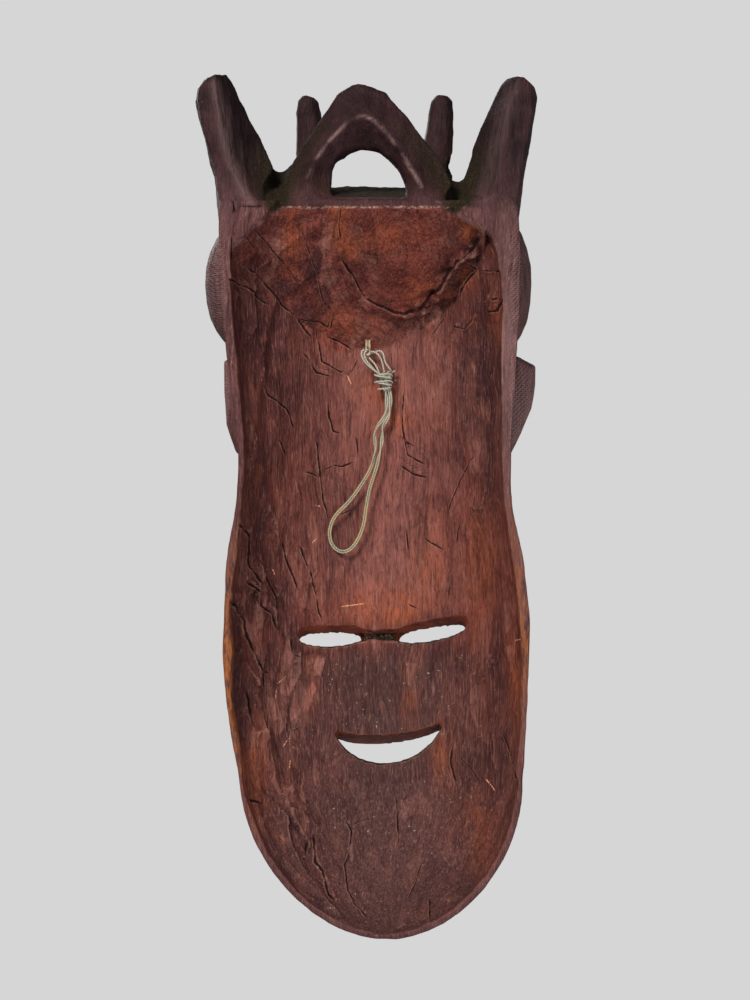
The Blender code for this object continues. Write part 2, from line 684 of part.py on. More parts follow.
def build_staple(mask, parts, cutters):
    out, crown = staple_frame()
    side = Vector((STAPLE_HALF_SPAN, 0, 0))
    foot = crown - out * (STAPLE_PROUD + STAPLE_BURIED)
    bend_start = crown - out * STAPLE_HALF_SPAN
    bend = [
        bend_start + side * math.cos(a) + out * STAPLE_HALF_SPAN * math.sin(a)
        for a in (math.pi * k / 8 for k in range(9))
    ]
    points = [foot + side, *bend, foot - side]
    wire("hanging_staple", points, STAPLE_WIRE, parts, material("staple_wire", STEEL_COLOUR, 0.45, 1.0))
    for sign in (1, -1):
        start = foot + sign * side - out * 0.0005
        hole = cone_between(
            f"staple_hole_{sign}", start, crown + sign * side, STAPLE_WIRE + TOUCH_GAP,
            STAPLE_WIRE + TOUCH_GAP, cutters, 10,
        )
        boolean(mask, as_cutter(hole), "DIFFERENCE")


def build_cord(parts):
    _, crown = staple_frame()
    cord = material("hanging_cord", CORD_COLOUR, 0.85)
    knot_middle = crown + Vector(KNOT_MIDDLE)
    knot = ellipsoid("cord_knot", knot_middle, KNOT_RADII, parts, 16, 10)
    knot.data.materials.append(cord)

    # Bridle: round the staple's crown and back to the knot.
    turn = STAPLE_WIRE + TOUCH_GAP + BRIDLE_RADIUS
    over = [
        crown + Vector((0, turn * math.cos(a), turn * math.sin(a)))
        for a in (math.pi * k / 8 for k in range(9))
    ]
    front = [crown + Vector(p) for p in reversed(BRIDLE_FRONT)]
    back = [crown + Vector(p) for p in BRIDLE_BACK]
    route = [*front, *over, *back]
    wire("cord_bridle", smooth_route(route, 0.0024), BRIDLE_RADIUS, parts, cord)

    points = smooth_route([crown + Vector(p) for p in LOOP_ROUTE], 0.0040)
    wire("cord_loop", points, LOOP_RADIUS, parts, cord)


def main():
    clear_scene()
    parts = new_collection("carved_mask")
    cutters = new_collection("cutters")
    mask = build_mask(parts, cutters)
    build_staple(mask, parts, cutters)
    build_cord(parts)


main()
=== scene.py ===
import json
import math

import bmesh
import bpy
import numpy as np
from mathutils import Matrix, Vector
from mathutils.bvhtree import BVHTree


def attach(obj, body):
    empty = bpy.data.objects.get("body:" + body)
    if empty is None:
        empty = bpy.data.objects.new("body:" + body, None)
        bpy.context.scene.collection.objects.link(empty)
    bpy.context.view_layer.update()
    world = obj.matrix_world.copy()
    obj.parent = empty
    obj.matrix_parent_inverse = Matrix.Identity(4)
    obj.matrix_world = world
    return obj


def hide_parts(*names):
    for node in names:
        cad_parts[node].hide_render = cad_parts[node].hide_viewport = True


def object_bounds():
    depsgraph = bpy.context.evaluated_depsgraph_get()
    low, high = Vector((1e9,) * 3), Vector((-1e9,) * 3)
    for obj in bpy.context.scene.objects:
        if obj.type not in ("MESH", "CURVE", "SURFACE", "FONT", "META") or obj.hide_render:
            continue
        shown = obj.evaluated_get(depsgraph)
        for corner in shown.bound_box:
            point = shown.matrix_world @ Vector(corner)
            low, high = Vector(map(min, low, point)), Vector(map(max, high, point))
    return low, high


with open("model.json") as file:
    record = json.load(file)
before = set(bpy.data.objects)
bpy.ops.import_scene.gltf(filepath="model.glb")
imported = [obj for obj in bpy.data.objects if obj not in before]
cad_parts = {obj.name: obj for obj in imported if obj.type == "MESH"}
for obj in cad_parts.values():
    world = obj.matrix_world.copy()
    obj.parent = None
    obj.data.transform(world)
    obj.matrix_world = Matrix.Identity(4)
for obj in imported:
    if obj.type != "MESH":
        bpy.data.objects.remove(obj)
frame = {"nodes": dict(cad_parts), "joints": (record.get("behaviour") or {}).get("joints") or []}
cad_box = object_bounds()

# The carved mask seen from its hollow back. Metres, +Z up, face towards -Y, hollow towards +Y.

# ---- Values: camera, floor and light ----

CAMERA_PLACE = Vector((-0.0040, 1.5, -0.172))
CAMERA_LENS = 93.6
FLOOR_DROP = 0.33  # the floor lies this far below the mask
BACKDROP_LEVEL = 0.672  # linear grey of the plain backdrop
AMBIENT_LEVEL = 0.19  # what the backdrop adds to the light on the mask
LIGHTS = {  # place, what it points at, size, power and colour
    "key": ((0.62, 1.35, 0.85), (0.0, 0.0, -0.15), 0.45, 35.0, (1.0, 0.97, 0.94)),
    "fill": ((-0.9, 1.3, -0.25), (0.0, 0.0, -0.2), 0.9, 10.0, (1.0, 1.0, 1.0)),
    "front": ((0.6, -1.6, 0.6), (0.0, 0.0, -0.15), 0.9, 11.0, (1.0, 1.0, 1.0)),
}

# ---- Values: wood ----

VOXEL = 0.0014
PITH = (-0.0175, -0.0195)  # x and y of the log's middle, which shows on the slanted ceiling
CEILING_NORMAL = Vector((0.0, 0.7627, -0.6468))
HOLLOW_LOW, HOLLOW_TOP = -0.418, -0.004
SLOTS = {  # middle x and z, half length and half height, the depth they are given at, fall per metre
    "eye_left": (0.0225, -0.2448, 0.0195, 0.0063, -0.041, 0.532),
    "eye_right": (-0.0380, -0.2430, 0.0208, 0.0066, -0.041, 0.532),
    "mouth": (-0.0120, -0.3165, 0.0320, 0.0120, -0.046, 0.364),
}
SLOT_FRONT = {  # middle x, middle z, half length, half height where each slot leaves the face
    "eye_left": (0.0225, -0.2610, 0.0200, 0.0062),
    "eye_right": (-0.0380, -0.2590, 0.0200, 0.0058),
    "mouth": (-0.0120, -0.3250, 0.0330, 0.0078),
}
GOUGES = {  # spacing across and along the strokes, seed, tilt, depth, overlap, slope of their floors
    "strokes": (0.0140, 0.044, 3, 0.16, 0.0052, 0.72, 0.5),
    "small": (0.0068, 0.017, 5, 0.30, 0.0020, 0.72, 0.5),
    "slanted": (0.0110, 0.050, 8, 0.08, 0.0022, 0.75, 0.7),
    "rough": (0.0085, 0.0110, 9, 0.9, 0.0022, 0.75, 0.8),
    "broad": (0.014, 0.034, 14, 0.25, 0.0009, 0.72, 0.5),
    "chatter": (0.0075, 0.0060, 17, 0.3, 0.0005, 0.72, 0.5),
    "long": (0.0080, 0.040, 18, 0.15, 0.0010, 0.72, 0.5),
}

# Knife lines, splits and chip edges in the hollow: half width and step of the surface across the
# line, then the line's points (x, z), all in millimetres.
KNIFE_LINES = (
    (0.45, 0.8, ((75, -33), (64, -41), (51, -56), (40.5, -66), (34, -76))),
    (0.35, 0.6, ((67, -14), (53, -29), (39, -48))),
    (0.30, 0.4, ((74, -16), (65, -27))),
    (0.30, 0.5, ((39, -15), (35, -26), (31, -37), (27, -54), (21, -61), (23, -71))),
    (0.40, 0.0, ((15.5, -3), (17, -12), (16, -21))),
    (0.50, -0.8, ((16, -31), (9, -41), (2, -52), (-4, -55), (-16, -60), (-29, -60))),
    (0.80, -1.0, ((-29, -60), (-33, -56), (-42, -46), (-47, -38), (-52, -31), (-60, -27), (-66, -19))),
    (0.45, 0.8, (
        (-59, -33), (-64, -37), (-57, -44), (-53, -53), (-49, -62), (-51, -69), (-57, -71), (-61, -65),
    )),
    (0.35, 0.5, ((-67, -37), (-76, -40), (-78, -46))),
    (0.45, 0.4, ((-66, -55), (-77, -55))),
    (0.45, 0.5, ((-69, -62), (-75, -62), (-79, -54))),
    (0.30, 0.5, ((-47, -59), (-38, -74))),
    (0.40, 0.5, ((42, -64), (29, -66), (23, -70))),
    (0.45, 0.6, ((25, -74), (17, -77), (9, -82))),
    (0.35, 0.5, ((30, -76), (28, -89), (17, -95), (10, -95), (6, -87))),
    (0.40, 0.6, ((39, -84), (31, -96), (22, -98))),
    (0.40, 0.8, ((83, -44), (72, -47), (65, -53), (58, -57))),
    (0.35, 0.5, ((64, -100), (59, -110), (48, -118), (44, -130))),
    (0.35, 0.4, ((53, -136), (48, -146))),
    (0.35, 0.5, ((31, -136), (29, -154), (27, -172), (24, -184))),
    (0.45, 0.4, ((38, -155), (29, -158))),
    (0.45, 0.3, ((24, -113), (23.5, -122), (21, -131), (16, -132))),
    (0.50, 0.3, ((26, -154), (20, -151), (16, -152), (8, -149))),
    (0.35, 0.2, ((7.2, -134), (6, -147))),
    (0.50, 0.4, ((-21.5, -107), (-20.5, -127), (-22.5, -139), (-23.5, -145), (-34, -151))),
    (0.50, 0.3, ((-19, -151), (-26, -156), (-35, -159))),
    (0.40, 0.2, ((-21, -136), (-28, -140))),
    (0.45, 0.2, ((18, -181), (9, -178))),
    (0.40, 0.8, ((41, -199), (36, -214), (31, -229), (29.5, -239), (27.5, -244))),
    (0.35, 0.6, ((51, -196), (47, -211), (42, -226))),
    (0.35, 0.1, ((-33, -195), (-45, -202))),
    (0.35, 0.2, ((-23, -190), (-24, -203))),
    (0.40, 0.1, ((-23, -234), (-32, -238))),
    (0.35, 0.6, ((-65, -142), (-59, -151), (-54, -160), (-50, -172), (-47, -182))),
    (0.30, 0.5, ((-55, -184), (-50, -208))),
    (0.35, 0.9, ((82, -225), (76, -238), (71, -243), (69, -254), (66, -263), (63, -275), (62, -284))),
    (0.35, 0.9, ((73, -219), (66, -226), (64, -234), (58, -239), (54, -249))),
    (0.35, 0.7, ((63, -211), (58, -225), (53, -236))),
    (0.35, 0.8, ((76, -183), (70, -193), (69, -201), (71, -210), (66, -222))),
    (0.50, 0.4, ((46, -254), (45, -264), (40, -266))),
    (0.70, 0.0, ((62, -273), (57.5, -275))),
    (0.60, 0.2, ((71, -284), (69, -299))),
    (0.40, 0.3, ((60, -298), (62, -308))),
    (0.40, 0.2, ((40, -307), (46, -310))),
    (0.35, 0.6, ((-49, -212), (-48, -230))),
    (0.40, 0.9, ((-80, -309), (-83, -325), (-87, -336))),
    (0.50, 0.3, ((-50, -318), (-49, -328), (-52, -340))),
    (0.25, 0.6, ((-55, -315), (-55, -326), (-61, -331), (-67, -340))),
    (0.40, 0.9, ((33, -369), (31, -384), (27, -390), (23.5, -403), (19, -406))),
    (0.30, 0.9, ((14, -362), (10, -368), (12, -383), (14, -387), (12, -401), (8, -408), (0, -415))),
    (0.30, 0.2, ((9.5, -365), (3.5, -362.5), (-2, -362))),
    (0.45, 0.0, ((-35.5, -404), (-36, -421))),
    (0.35, 0.6, ((-16.5, -348), (-17.5, -366), (-18, -376))),
    (0.30, 0.6, ((-31, -386), (-28, -396), (-23, -406))),
    (0.80, 0.2, ((36, -372), (36, -380))),
    (0.60, 0.2, ((70, -345), (62, -350))),
)
END_GRAIN = (  # outline (x, z) of the end grain on the ceiling, in millimetres
    (75, -33), (51, -56), (34, -76), (14, -84), (-2, -81), (-15, -66), (-30, -62), (-42, -49), (-52, -33),
    (-62, -27), (-68, -19), (-55, 0), (58, 0), (73, -12),
)
GLOWS = (  # fresher orange wood: x, z, half width and half height in millimetres, share
    (10.5, -26, 6, 5, 1.0), (-59, -15, 5, 9, 0.9), (45, -21, 5, 17, 0.55), (17, -12, 6, 14, 0.6),
    (-36, -49, 13, 6, 0.6), (-8, -18, 22, 7, 0.35), (14, -68, 15, 9, 0.4), (-58, -41, 6, 7, 0.55),
    (-74, -68, 4, 14, 0.5), (-14, -236, 26, 11, 0.6), (-68, -212, 9, 34, 0.5), (-6, -112, 9, 14, 0.45),
    (-18, -126, 8, 7, 0.6), (-36, -212, 10, 24, 0.4), (-86, -272, 3, 26, 0.5), (-43, -322, 5, 14, 0.35),
    (66, -330, 5, 22, 0.55), (-67, -362, 6, 18, 0.4), (-24, -290, 6, 16, 0.35), (35, -280, 4, 20, 0.3),
)
STAINS_AND_SHADE = (  # dark purple patches, given in the same way; the two broad ones at (60, -84) and (-66, -98) are painted shade on the side walls under the ceiling
    (-50, -18, 6, 10, 0.8), (-38, -57, 10, 5, 0.8), (74, -150, 6, 46, 0.75), (20, -46, 16, 9, 0.35),
    (60, -84, 22, 40, 0.95), (-66, -98, 17, 42, 1.0), (-58, -27, 9, 8, 0.9), (-48, -41, 9, 9, 0.95),
    (-40, -54, 9, 5, 0.9), (-72, -150, 9, 60, 0.7), (47, -250, 6, 12, 0.5), (12, -285, 14, 14, 0.45),
    (70, -292, 3, 12, 0.7), (-6, -336, 22, 12, 0.3), (72, -346, 7, 7, 0.5), (-88, -262, 2.5, 22, 0.6),
    (30, -172, 14, 26, 0.2), (-74, -190, 12, 60, 0.45), (-36, -396, 4, 20, 0.4),
)
# Lines of points (x, z), in millimetres.
ARCH_RIDGE = ((36, 13), (30, 25), (22, 36), (12, 46), (4, 50), (-4, 47), (-16, 33), (-31, 9))
HORN_RIDGES = (  # lines down the rear horns' ridges, along which a pale sheen is painted
    ((88.7, 68.7), (84.6, 49), (82.1, 32.5), (75.6, 16), (67.3, -2)),
    ((-83, 66), (-76, 42), (-70, 22), (-66, 4)),
)
# The torn edge of the ceiling's disc.
RAGGED = ((-24, -61), (-33, -56), (-42, -46), (-47, -38), (-52, -31), (-60, -27), (-66, -19))
SCRATCHES = (  # pale marks in the hollow, given like the knife lines
    (0.45, 0.0, ((56, -212), (55, -217))), (0.50, 0.0, ((54, -281), (49, -277))),
    (0.35, 0.0, ((55, -290), (54, -284))), (0.40, 0.0, ((50, -318), (48, -314))),
    (0.40, 0.0, ((46, -311), (47, -317))), (0.45, 0.0, ((46, -326), (46, -331))),
    (0.25, 0.0, ((17, -236), (2, -234))), (0.30, 0.0, ((32, -175), (28, -176))),
    (0.35, 0.0, ((34, -198), (31, -195))), (0.30, 0.0, ((13, -96), (10, -103))),
    (0.30, 0.0, ((-90, -252), (-85, -254))), (0.30, 0.0, ((-69, -336), (-75, -343))),
)
BRIDGE = (-0.0080, -0.2540, 0.0125, 0.0019)  # groove between the eyes: middle x and z, half sizes
CORNER_CUTS = (  # across the hollow's upper corners: a point (x, z) on each, and the way it faces
    (0.0537, -0.0058, 0.697, 0.717), (-0.0490, -0.0075, -0.54, 0.84),
)
LOBE, EAR = (-0.045, 0.042), (-0.120, 0.034)  # middle height and half height
DISC = (-0.0200, -0.0215, 0.0440, 0.0410)  # on the ceiling: middle x and z, radii it fades between
KNIFE_STEP, BRIDGE_DEPTH, TEAR_DEPTH = 0.001, 0.0024, 0.0026

# ---- Values: cord ----


def in_metres(rows):
    return np.array(rows) / 1000


CROWN = Vector(frame["joints"][0]["pos_m"])
STRAND = 0.0012  # thickness of the string
STRAND_SIDE = 0.00062  # half the spacing of two strands laid side by side
PLY_TURN = 0.0034  # length of string in which its two plies turn once round each other
PAIR_TURN, PAIR_LOW = 0.024, -0.062  # the pair's own turn, and the height below which it lies flat

# The runs, in order, given in millimetres from the staple's crown.
LOOP_ROUTE = in_metres((
    (-10.8, 0, -22.6), (-11.3, 0, -27), (-11, 0, -32.3), (-10.1, 0, -37.5), (-6, 0, -42),
    (-3.8, -0.2, -46.5), (-4.2, -0.6, -51.5), (-4.5, -0.9, -57.5), (-3.4, -1, -63),
    (-1.4, -0.8, -69), (6, 0.2, -80.9), (12, 1, -88.7), (19.6, 1.6, -96.4), (22.8, 1.8, -104),
    (22.6, 1.8, -111.4), (19, 1.6, -117), (14, 1.4, -118.4), (9.8, 1.2, -116), (6, 1.2, -110.8),
    (2.6, 1.2, -101.8), (1.2, 1.2, -92.2), (-0.8, 1.4, -81), (-3.2, 1.6, -73.5), (-5.3, 1.8, -67),
    (-6.6, 1.8, -61), (-7.9, 1.4, -55), (-8.6, 0.8, -50), (-8.4, 0.2, -45.6), (-9.4, 0, -41.4),
    (-12.2, 0, -37.8), (-13.2, 0, -32.3), (-13.6, 0, -27), (-13.3, 0, -22.2),
))
FIRST_RUN = in_metres((  # from the eye of the staple, by the inner left, into the knot
    (0.2, 0.4, 3.1), (1.6, 1.4, 3), (2.6, 2, 1.4), (2.4, 2, -1.2), (0.8, 1.6, -4.2),
    (-1.8, 1.4, -7), (-4.4, 1, -9.8), (-6.8, 0.6, -13), (-8.4, 0.4, -16.5), (-9.6, 0.2, -20),
))
SECOND_RUN = in_metres((  # up the outer left, through the staple and down behind, in the middle
    (-12.2, 0, -19), (-10.8, 0.4, -16), (-8.4, 0.8, -13), (-5.4, 1.4, -10.8), (-2.6, 1.8, -8.4),
    (1.2, 2, -5.4), (3.6, 2.2, -2), (4.4, 2.2, 1), (3.6, 2, 3.4), (2, 1.4, 3.6), (0.7, 0.4, 2.1),
    (0.5, -1.6, 1.1), (0, -2.3, -1.2), (-1.6, -1.4, -3), (-3.6, 0, -4.6), (-5.4, 0.8, -7.4),
    (-6.2, 1, -10.4), (-7.8, 0.6, -13.5), (-9.4, -0.4, -16.5), (-10.4, -0.6, -20),
))
THIRD_RUN = in_metres((  # up on the right, through the staple, and back on the far right to the knot's side
    (-12.6, -0.4, -19), (-11.2, -0.6, -16), (-10, -0.2, -12.5), (-9.6, 1, -9.6), (-8.9, 1.6, -6.2),
    (-8, 1.8, -2.8), (-6.2, 1.8, 0.4), (-3.8, 1.6, 2), (-1.8, 1, 2.4), (-0.7, 0, 2),
    (-0.8, -1.9, 0.8), (-2, -2.3, 0), (-3.8, -1.8, 1.2), (-5.6, -0.8, 2.6), (-7.4, 0.4, 3),
    (-9.1, 1.2, 1.8), (-9.7, 1.4, -1), (-9.6, 1.2, -3.6), (-11.2, 1, -6.2), (-13.2, 0.4, -8.6),
    (-14.4, -1, -10.4),
))
KNOT_TURNS = in_metres((  # middle x, half width, height of the right side, height of the left side
    (-9, 5.2, -9.6, -11.8), (-9.4, 6, -13.2, -11.2), (-9, 5.6, -13.8, -16),
    (-9.8, 5.8, -17.2, -15.6), (-9.8, 4.6, -18.4, -20),
))
KNOT_HALF_DEPTH = 0.0034
TAIL_RUN = in_metres((  # up behind the knot and out on its right
    (-11.8, -4, -19), (-12.4, -4.7, -15), (-13.2, -3.6, -11.6), (-14.6, -1.4, -10),
    (-16.2, 0.4, -9.8),
))

# ---- Values: staple ----

STAPLE_HALF = 0.0009  # half the distance between its legs
STAPLE_WIRE = 0.0008  # radius, with the dirt on it
STAPLE_LENGTH = 0.0200  # from its feet in the wood to its crown
STAPLE_FALL = math.radians(60.0)  # how steeply it slopes down out of the wood


# ---- Camera, floor, light ----


def make_camera():
    data = bpy.data.cameras.new("camera")
    data.lens = CAMERA_LENS
    data.sensor_width = 36.0
    camera = bpy.data.objects.new("camera", data)
    link(camera)
    camera.location = CAMERA_PLACE
    camera.rotation_euler = (math.radians(90), 0.0, math.radians(180))
    bpy.context.scene.camera = camera


def make_world():
    scene = bpy.context.scene
    scene.view_settings.view_transform = "Standard"
    world = bpy.data.worlds.new("studio")
    world.use_nodes = True
    nodes, links = world.node_tree.nodes, world.node_tree.links
    background = nodes["Background"]
    background.inputs["Color"].default_value = (1.0, 1.0, 1.0, 1.0)
    seen = nodes.new("ShaderNodeLightPath")
    level = nodes.new("ShaderNodeMapRange")
    level.inputs["To Min"].default_value = AMBIENT_LEVEL
    level.inputs["To Max"].default_value = BACKDROP_LEVEL
    links.new(seen.outputs["Is Camera Ray"], level.inputs["Value"])
    links.new(level.outputs[0], background.inputs["Strength"])
    scene.world = world


def area_light(name, place, target, size, power, colour):
    data = bpy.data.lights.new(name, "AREA")
    data.shape = "DISK"
    data.size = size
    data.energy = power
    data.color = colour
    light = bpy.data.objects.new(name, data)
    link(light)
    light.location = place
    light.rotation_euler = (Vector(target) - Vector(place)).to_track_quat("-Z", "Y").to_euler()


def make_floor():
    bm = bmesh.new()
    bmesh.ops.create_circle(bm, cap_ends=True, segments=96, radius=1.1)
    mesh = bpy.data.meshes.new("floor")
    bm.to_mesh(mesh)
    bm.free()
    floor = bpy.data.objects.new("floor", mesh)
    floor.location = (0.0, 0.0, cad_box[0].z - FLOOR_DROP)
    link(floor)
    mat = bpy.data.materials.new("pale_floor")
    mat.use_nodes = True
    shader = mat.node_tree.nodes["Principled BSDF"]
    shader.inputs["Base Color"].default_value = (0.7, 0.7, 0.7, 1.0)
    shader.inputs["Roughness"].default_value = 0.9
    mesh.materials.append(mat)


# ---- Small tools ----


def smoothstep(low, high, value):
    t = np.clip((value - low) / (high - low), 0.0, 1.0)
    return t * t * (3 - 2 * t)


def near(value, middle, width):
    return np.exp(-(((value - middle) / width) ** 2))


def lattice_noise(points, scale, seed):
    """Smooth noise from -1 to 1 at points, with features about scale metres across."""
    size = 32
    table = np.random.default_rng(seed).uniform(-1, 1, (size, size, size))
    place = points / scale
    cell = np.floor(place).astype(int)
    t = place - cell
    t = t * t * (3 - 2 * t)
    total = np.zeros(len(points))
    for dx in (0, 1):
        for dy in (0, 1):
            for dz in (0, 1):
                corner = (cell + (dx, dy, dz)) % size
                weight = (
                    (t[:, 0] if dx else 1 - t[:, 0])
                    * (t[:, 1] if dy else 1 - t[:, 1])
                    * (t[:, 2] if dz else 1 - t[:, 2])
                )
                total += weight * table[corner[:, 0], corner[:, 1], corner[:, 2]]
    return total


def gouges(kind, u, v):
    """Depth cut at (u, v) by overlapping gouge strokes, and how near each point is to a stroke's edge."""
    step_u, step_v, seed, tilt, depth, overlap, slope = GOUGES[kind]
    made = np.random.default_rng(seed)
    size = 64
    shift = made.uniform(-0.34, 0.34, (size, size, 2))
    angle = made.normal(0.0, tilt, (size, size))
    stretch = made.uniform(0.8, 1.3, (size, size, 2))
    deep = made.uniform(0.5, 1.0, (size, size))
    lean = made.normal(0.0, slope, (size, size, 2))
    iu, iv = np.floor(u / step_u).astype(int), np.floor(v / step_v).astype(int)
    best, second, height = np.full_like(u, -9.0), np.full_like(u, -9.0), np.zeros_like(u)
    for du in range(-2, 3):
        for dv in range(-2, 3):
            a, b = (iu + du) % size, (iv + dv) % size
            cu = (iu + du + 0.5 + 0.5 * ((iv + dv) % 2) + shift[a, b, 0]) * step_u
            cv = (iv + dv + 0.5 + shift[a, b, 1]) * step_v
            c, s = np.cos(angle[a, b]), np.sin(angle[a, b])
            along = (c * (v - cv) + s * (u - cu)) / (overlap * step_v * stretch[a, b, 0])
            across = (c * (u - cu) - s * (v - cv)) / (overlap * step_u * stretch[a, b, 1])
            score = deep[a, b] * (1 - along**2 - across**2)
            won = score > best
            second = np.where(won, best, np.maximum(second, score))
            tilted = score + 0.35 * (lean[a, b, 0] * along + 0.6 * lean[a, b, 1] * across)
            height = np.where(won, tilted, height)
            best = np.where(won, score, best)
    return depth * np.clip(height, -1.0, 1.6), np.exp(-(((best - second) / 0.14) ** 2))


def mesh_array(mesh, kind):
    data = {"co": mesh.vertices, "normal": mesh.vertex_normals}[kind]
    values = np.empty(len(mesh.vertices) * 3)
    data.foreach_get("co" if kind == "co" else "vector", values)
    return values.reshape(-1, 3)


def edge_array(mesh):
    pairs = np.empty(len(mesh.edges) * 2, int)
    mesh.edges.foreach_get("vertices", pairs)
    return pairs.reshape(-1, 2)


def averaged(values, pairs, rounds):
    """values smoothed over the mesh's edges."""
    count = np.bincount(pairs.ravel(), minlength=len(values)).astype(float)
    flat = values.reshape(len(values), -1)
    for _ in range(rounds):
        total = np.empty_like(flat)
        for k in range(flat.shape[1]):
            column = flat[:, k]
            total[:, k] = np.bincount(pairs[:, 0], column[pairs[:, 1]], len(values)) + np.bincount(
                pairs[:, 1], column[pairs[:, 0]], len(values)
            )
        flat = 0.5 * flat + 0.5 * total / count[:, None]
    return flat.reshape(values.shape)


def set_attribute(mesh, name, values):
    layer = mesh.attributes.new(name, "FLOAT", "POINT")
    layer.data.foreach_set("value", np.clip(values, 0.0, 1.0).astype(np.float32))


def link(obj):
    bpy.context.scene.collection.objects.link(obj)
    return obj


def remeshed(node, name, voxel):
    """A copy of a CAD node's surface as one even mesh."""
    bm = bmesh.new()
    bm.from_mesh(node.data)
    bmesh.ops.remove_doubles(bm, verts=bm.verts, dist=1e-6)
    mesh = bpy.data.meshes.new(name)
    bm.to_mesh(mesh)
    bm.free()
    obj = link(bpy.data.objects.new(name, mesh))
    grid = obj.modifiers.new("grid", "REMESH")
    grid.mode = "VOXEL"
    grid.voxel_size = voxel
    graph = bpy.context.evaluated_depsgraph_get()
    even = bpy.data.meshes.new_from_object(obj.evaluated_get(graph))
    obj.modifiers.clear()
    obj.data = even
    even.name = name
    return obj


def fitted(mesh, tree, rounds=2):
    """The vertices smoothed, and laid back on the CAD surface."""
    pairs = edge_array(mesh)
    for _ in range(rounds):
        at = averaged(mesh_array(mesh, "co"), pairs, 2)
        for k, p in enumerate(at):
            found = tree.find_nearest(p, 0.01)[0]
            if found:
                at[k] = found
        mesh.vertices.foreach_set("co", at.ravel())
    mesh.update()
    return averaged(at, pairs, 1)


def line_field(x, z, lines, taper=0.003):
    """The nearest knife line: signed distance to it, share inside its ends, half width and step."""
    best = np.full_like(x, 1.0)
    across, reach = np.zeros_like(x), np.zeros_like(x)
    width, step = np.zeros_like(x), np.zeros_like(x)
    for half, rise, points in lines:
        points = np.array(points) / 1000
        last = len(points) - 2
        for k, (a, b) in enumerate(zip(points, points[1:])):
            length = np.hypot(*(b - a))
            c, s = (b - a) / length
            along = c * (x - a[0]) + s * (z - a[1])
            side = c * (z - a[1]) - s * (x - a[0])
            beyond = np.maximum(np.maximum(-along, along - length), 0.0)
            distance = np.hypot(side, beyond)
            ends = np.ones_like(x)
            if k == 0:
                ends = np.minimum(ends, smoothstep(0.0, taper, along))
            if k == last:
                ends = np.minimum(ends, smoothstep(length, length - taper, along))
            won = distance < best
            best = np.where(won, distance, best)
            across = np.where(won, np.where(beyond > 0, np.sign(side) * distance, side), across)
            reach = np.where(won, ends, reach)
            width, step = np.where(won, half, width), np.where(won, rise, step)
    reach *= smoothstep(0.0075, 0.0045, best)
    return across, reach, width, step


def ridge_distance(x, z, points):
    """Distance from a line of points (x, z) given in millimetres."""
    points = np.array(points) / 1000
    best = np.full_like(x, 1.0)
    for a, b in zip(points, points[1:]):
        length = np.hypot(*(b - a))
        c, s = (b - a) / length
        along = np.clip(c * (x - a[0]) + s * (z - a[1]), 0.0, length)
        best = np.minimum(best, np.hypot(x - a[0] - along * c, z - a[1] - along * s))
    return best


def in_outline(x, z, outline):
    """True inside a closed outline of points (x, z) given in millimetres."""
    points = np.array(outline) / 1000
    inside = np.zeros(len(x), bool)
    for (x0, z0), (x1, z1) in zip(points, np.roll(points, -1, 0)):
        crossing = (z0 > z) != (z1 > z)
        if z0 != z1:
            inside ^= crossing & (x < x0 + (z - z0) * (x1 - x0) / (z1 - z0))
    return inside


def patches(x, z, table):
    """The strongest of a table's soft elliptical patches at each point."""
    total = np.zeros_like(x)
    for px, pz, half_x, half_z, share in table:
        r = np.hypot((x * 1000 - px) / half_x, (z * 1000 - pz) / half_z)
        total = np.maximum(total, share * np.exp(-0.5 * (r * 1.3) ** 2))
    return total


# ---- The carved body ----


def rim_edges(tree):
    """Heights, and the hollow's left and right edges there, measured on the CAD body at the back."""
    heights = np.arange(HOLLOW_LOW, HOLLOW_TOP, 0.004)
    sides = []
    for direction in (1, -1):
        row = []
        for z in heights:
            start = Vector((-0.004 if z > -0.3 else -0.010, -0.004, z))
            hit = tree.ray_cast(start, Vector((direction, 0, 0)))
            row.append(hit[0].x if hit[0] else direction * 0.08)
        sides.append(row)
    return heights, np.array(sides[0]), np.array(sides[1])


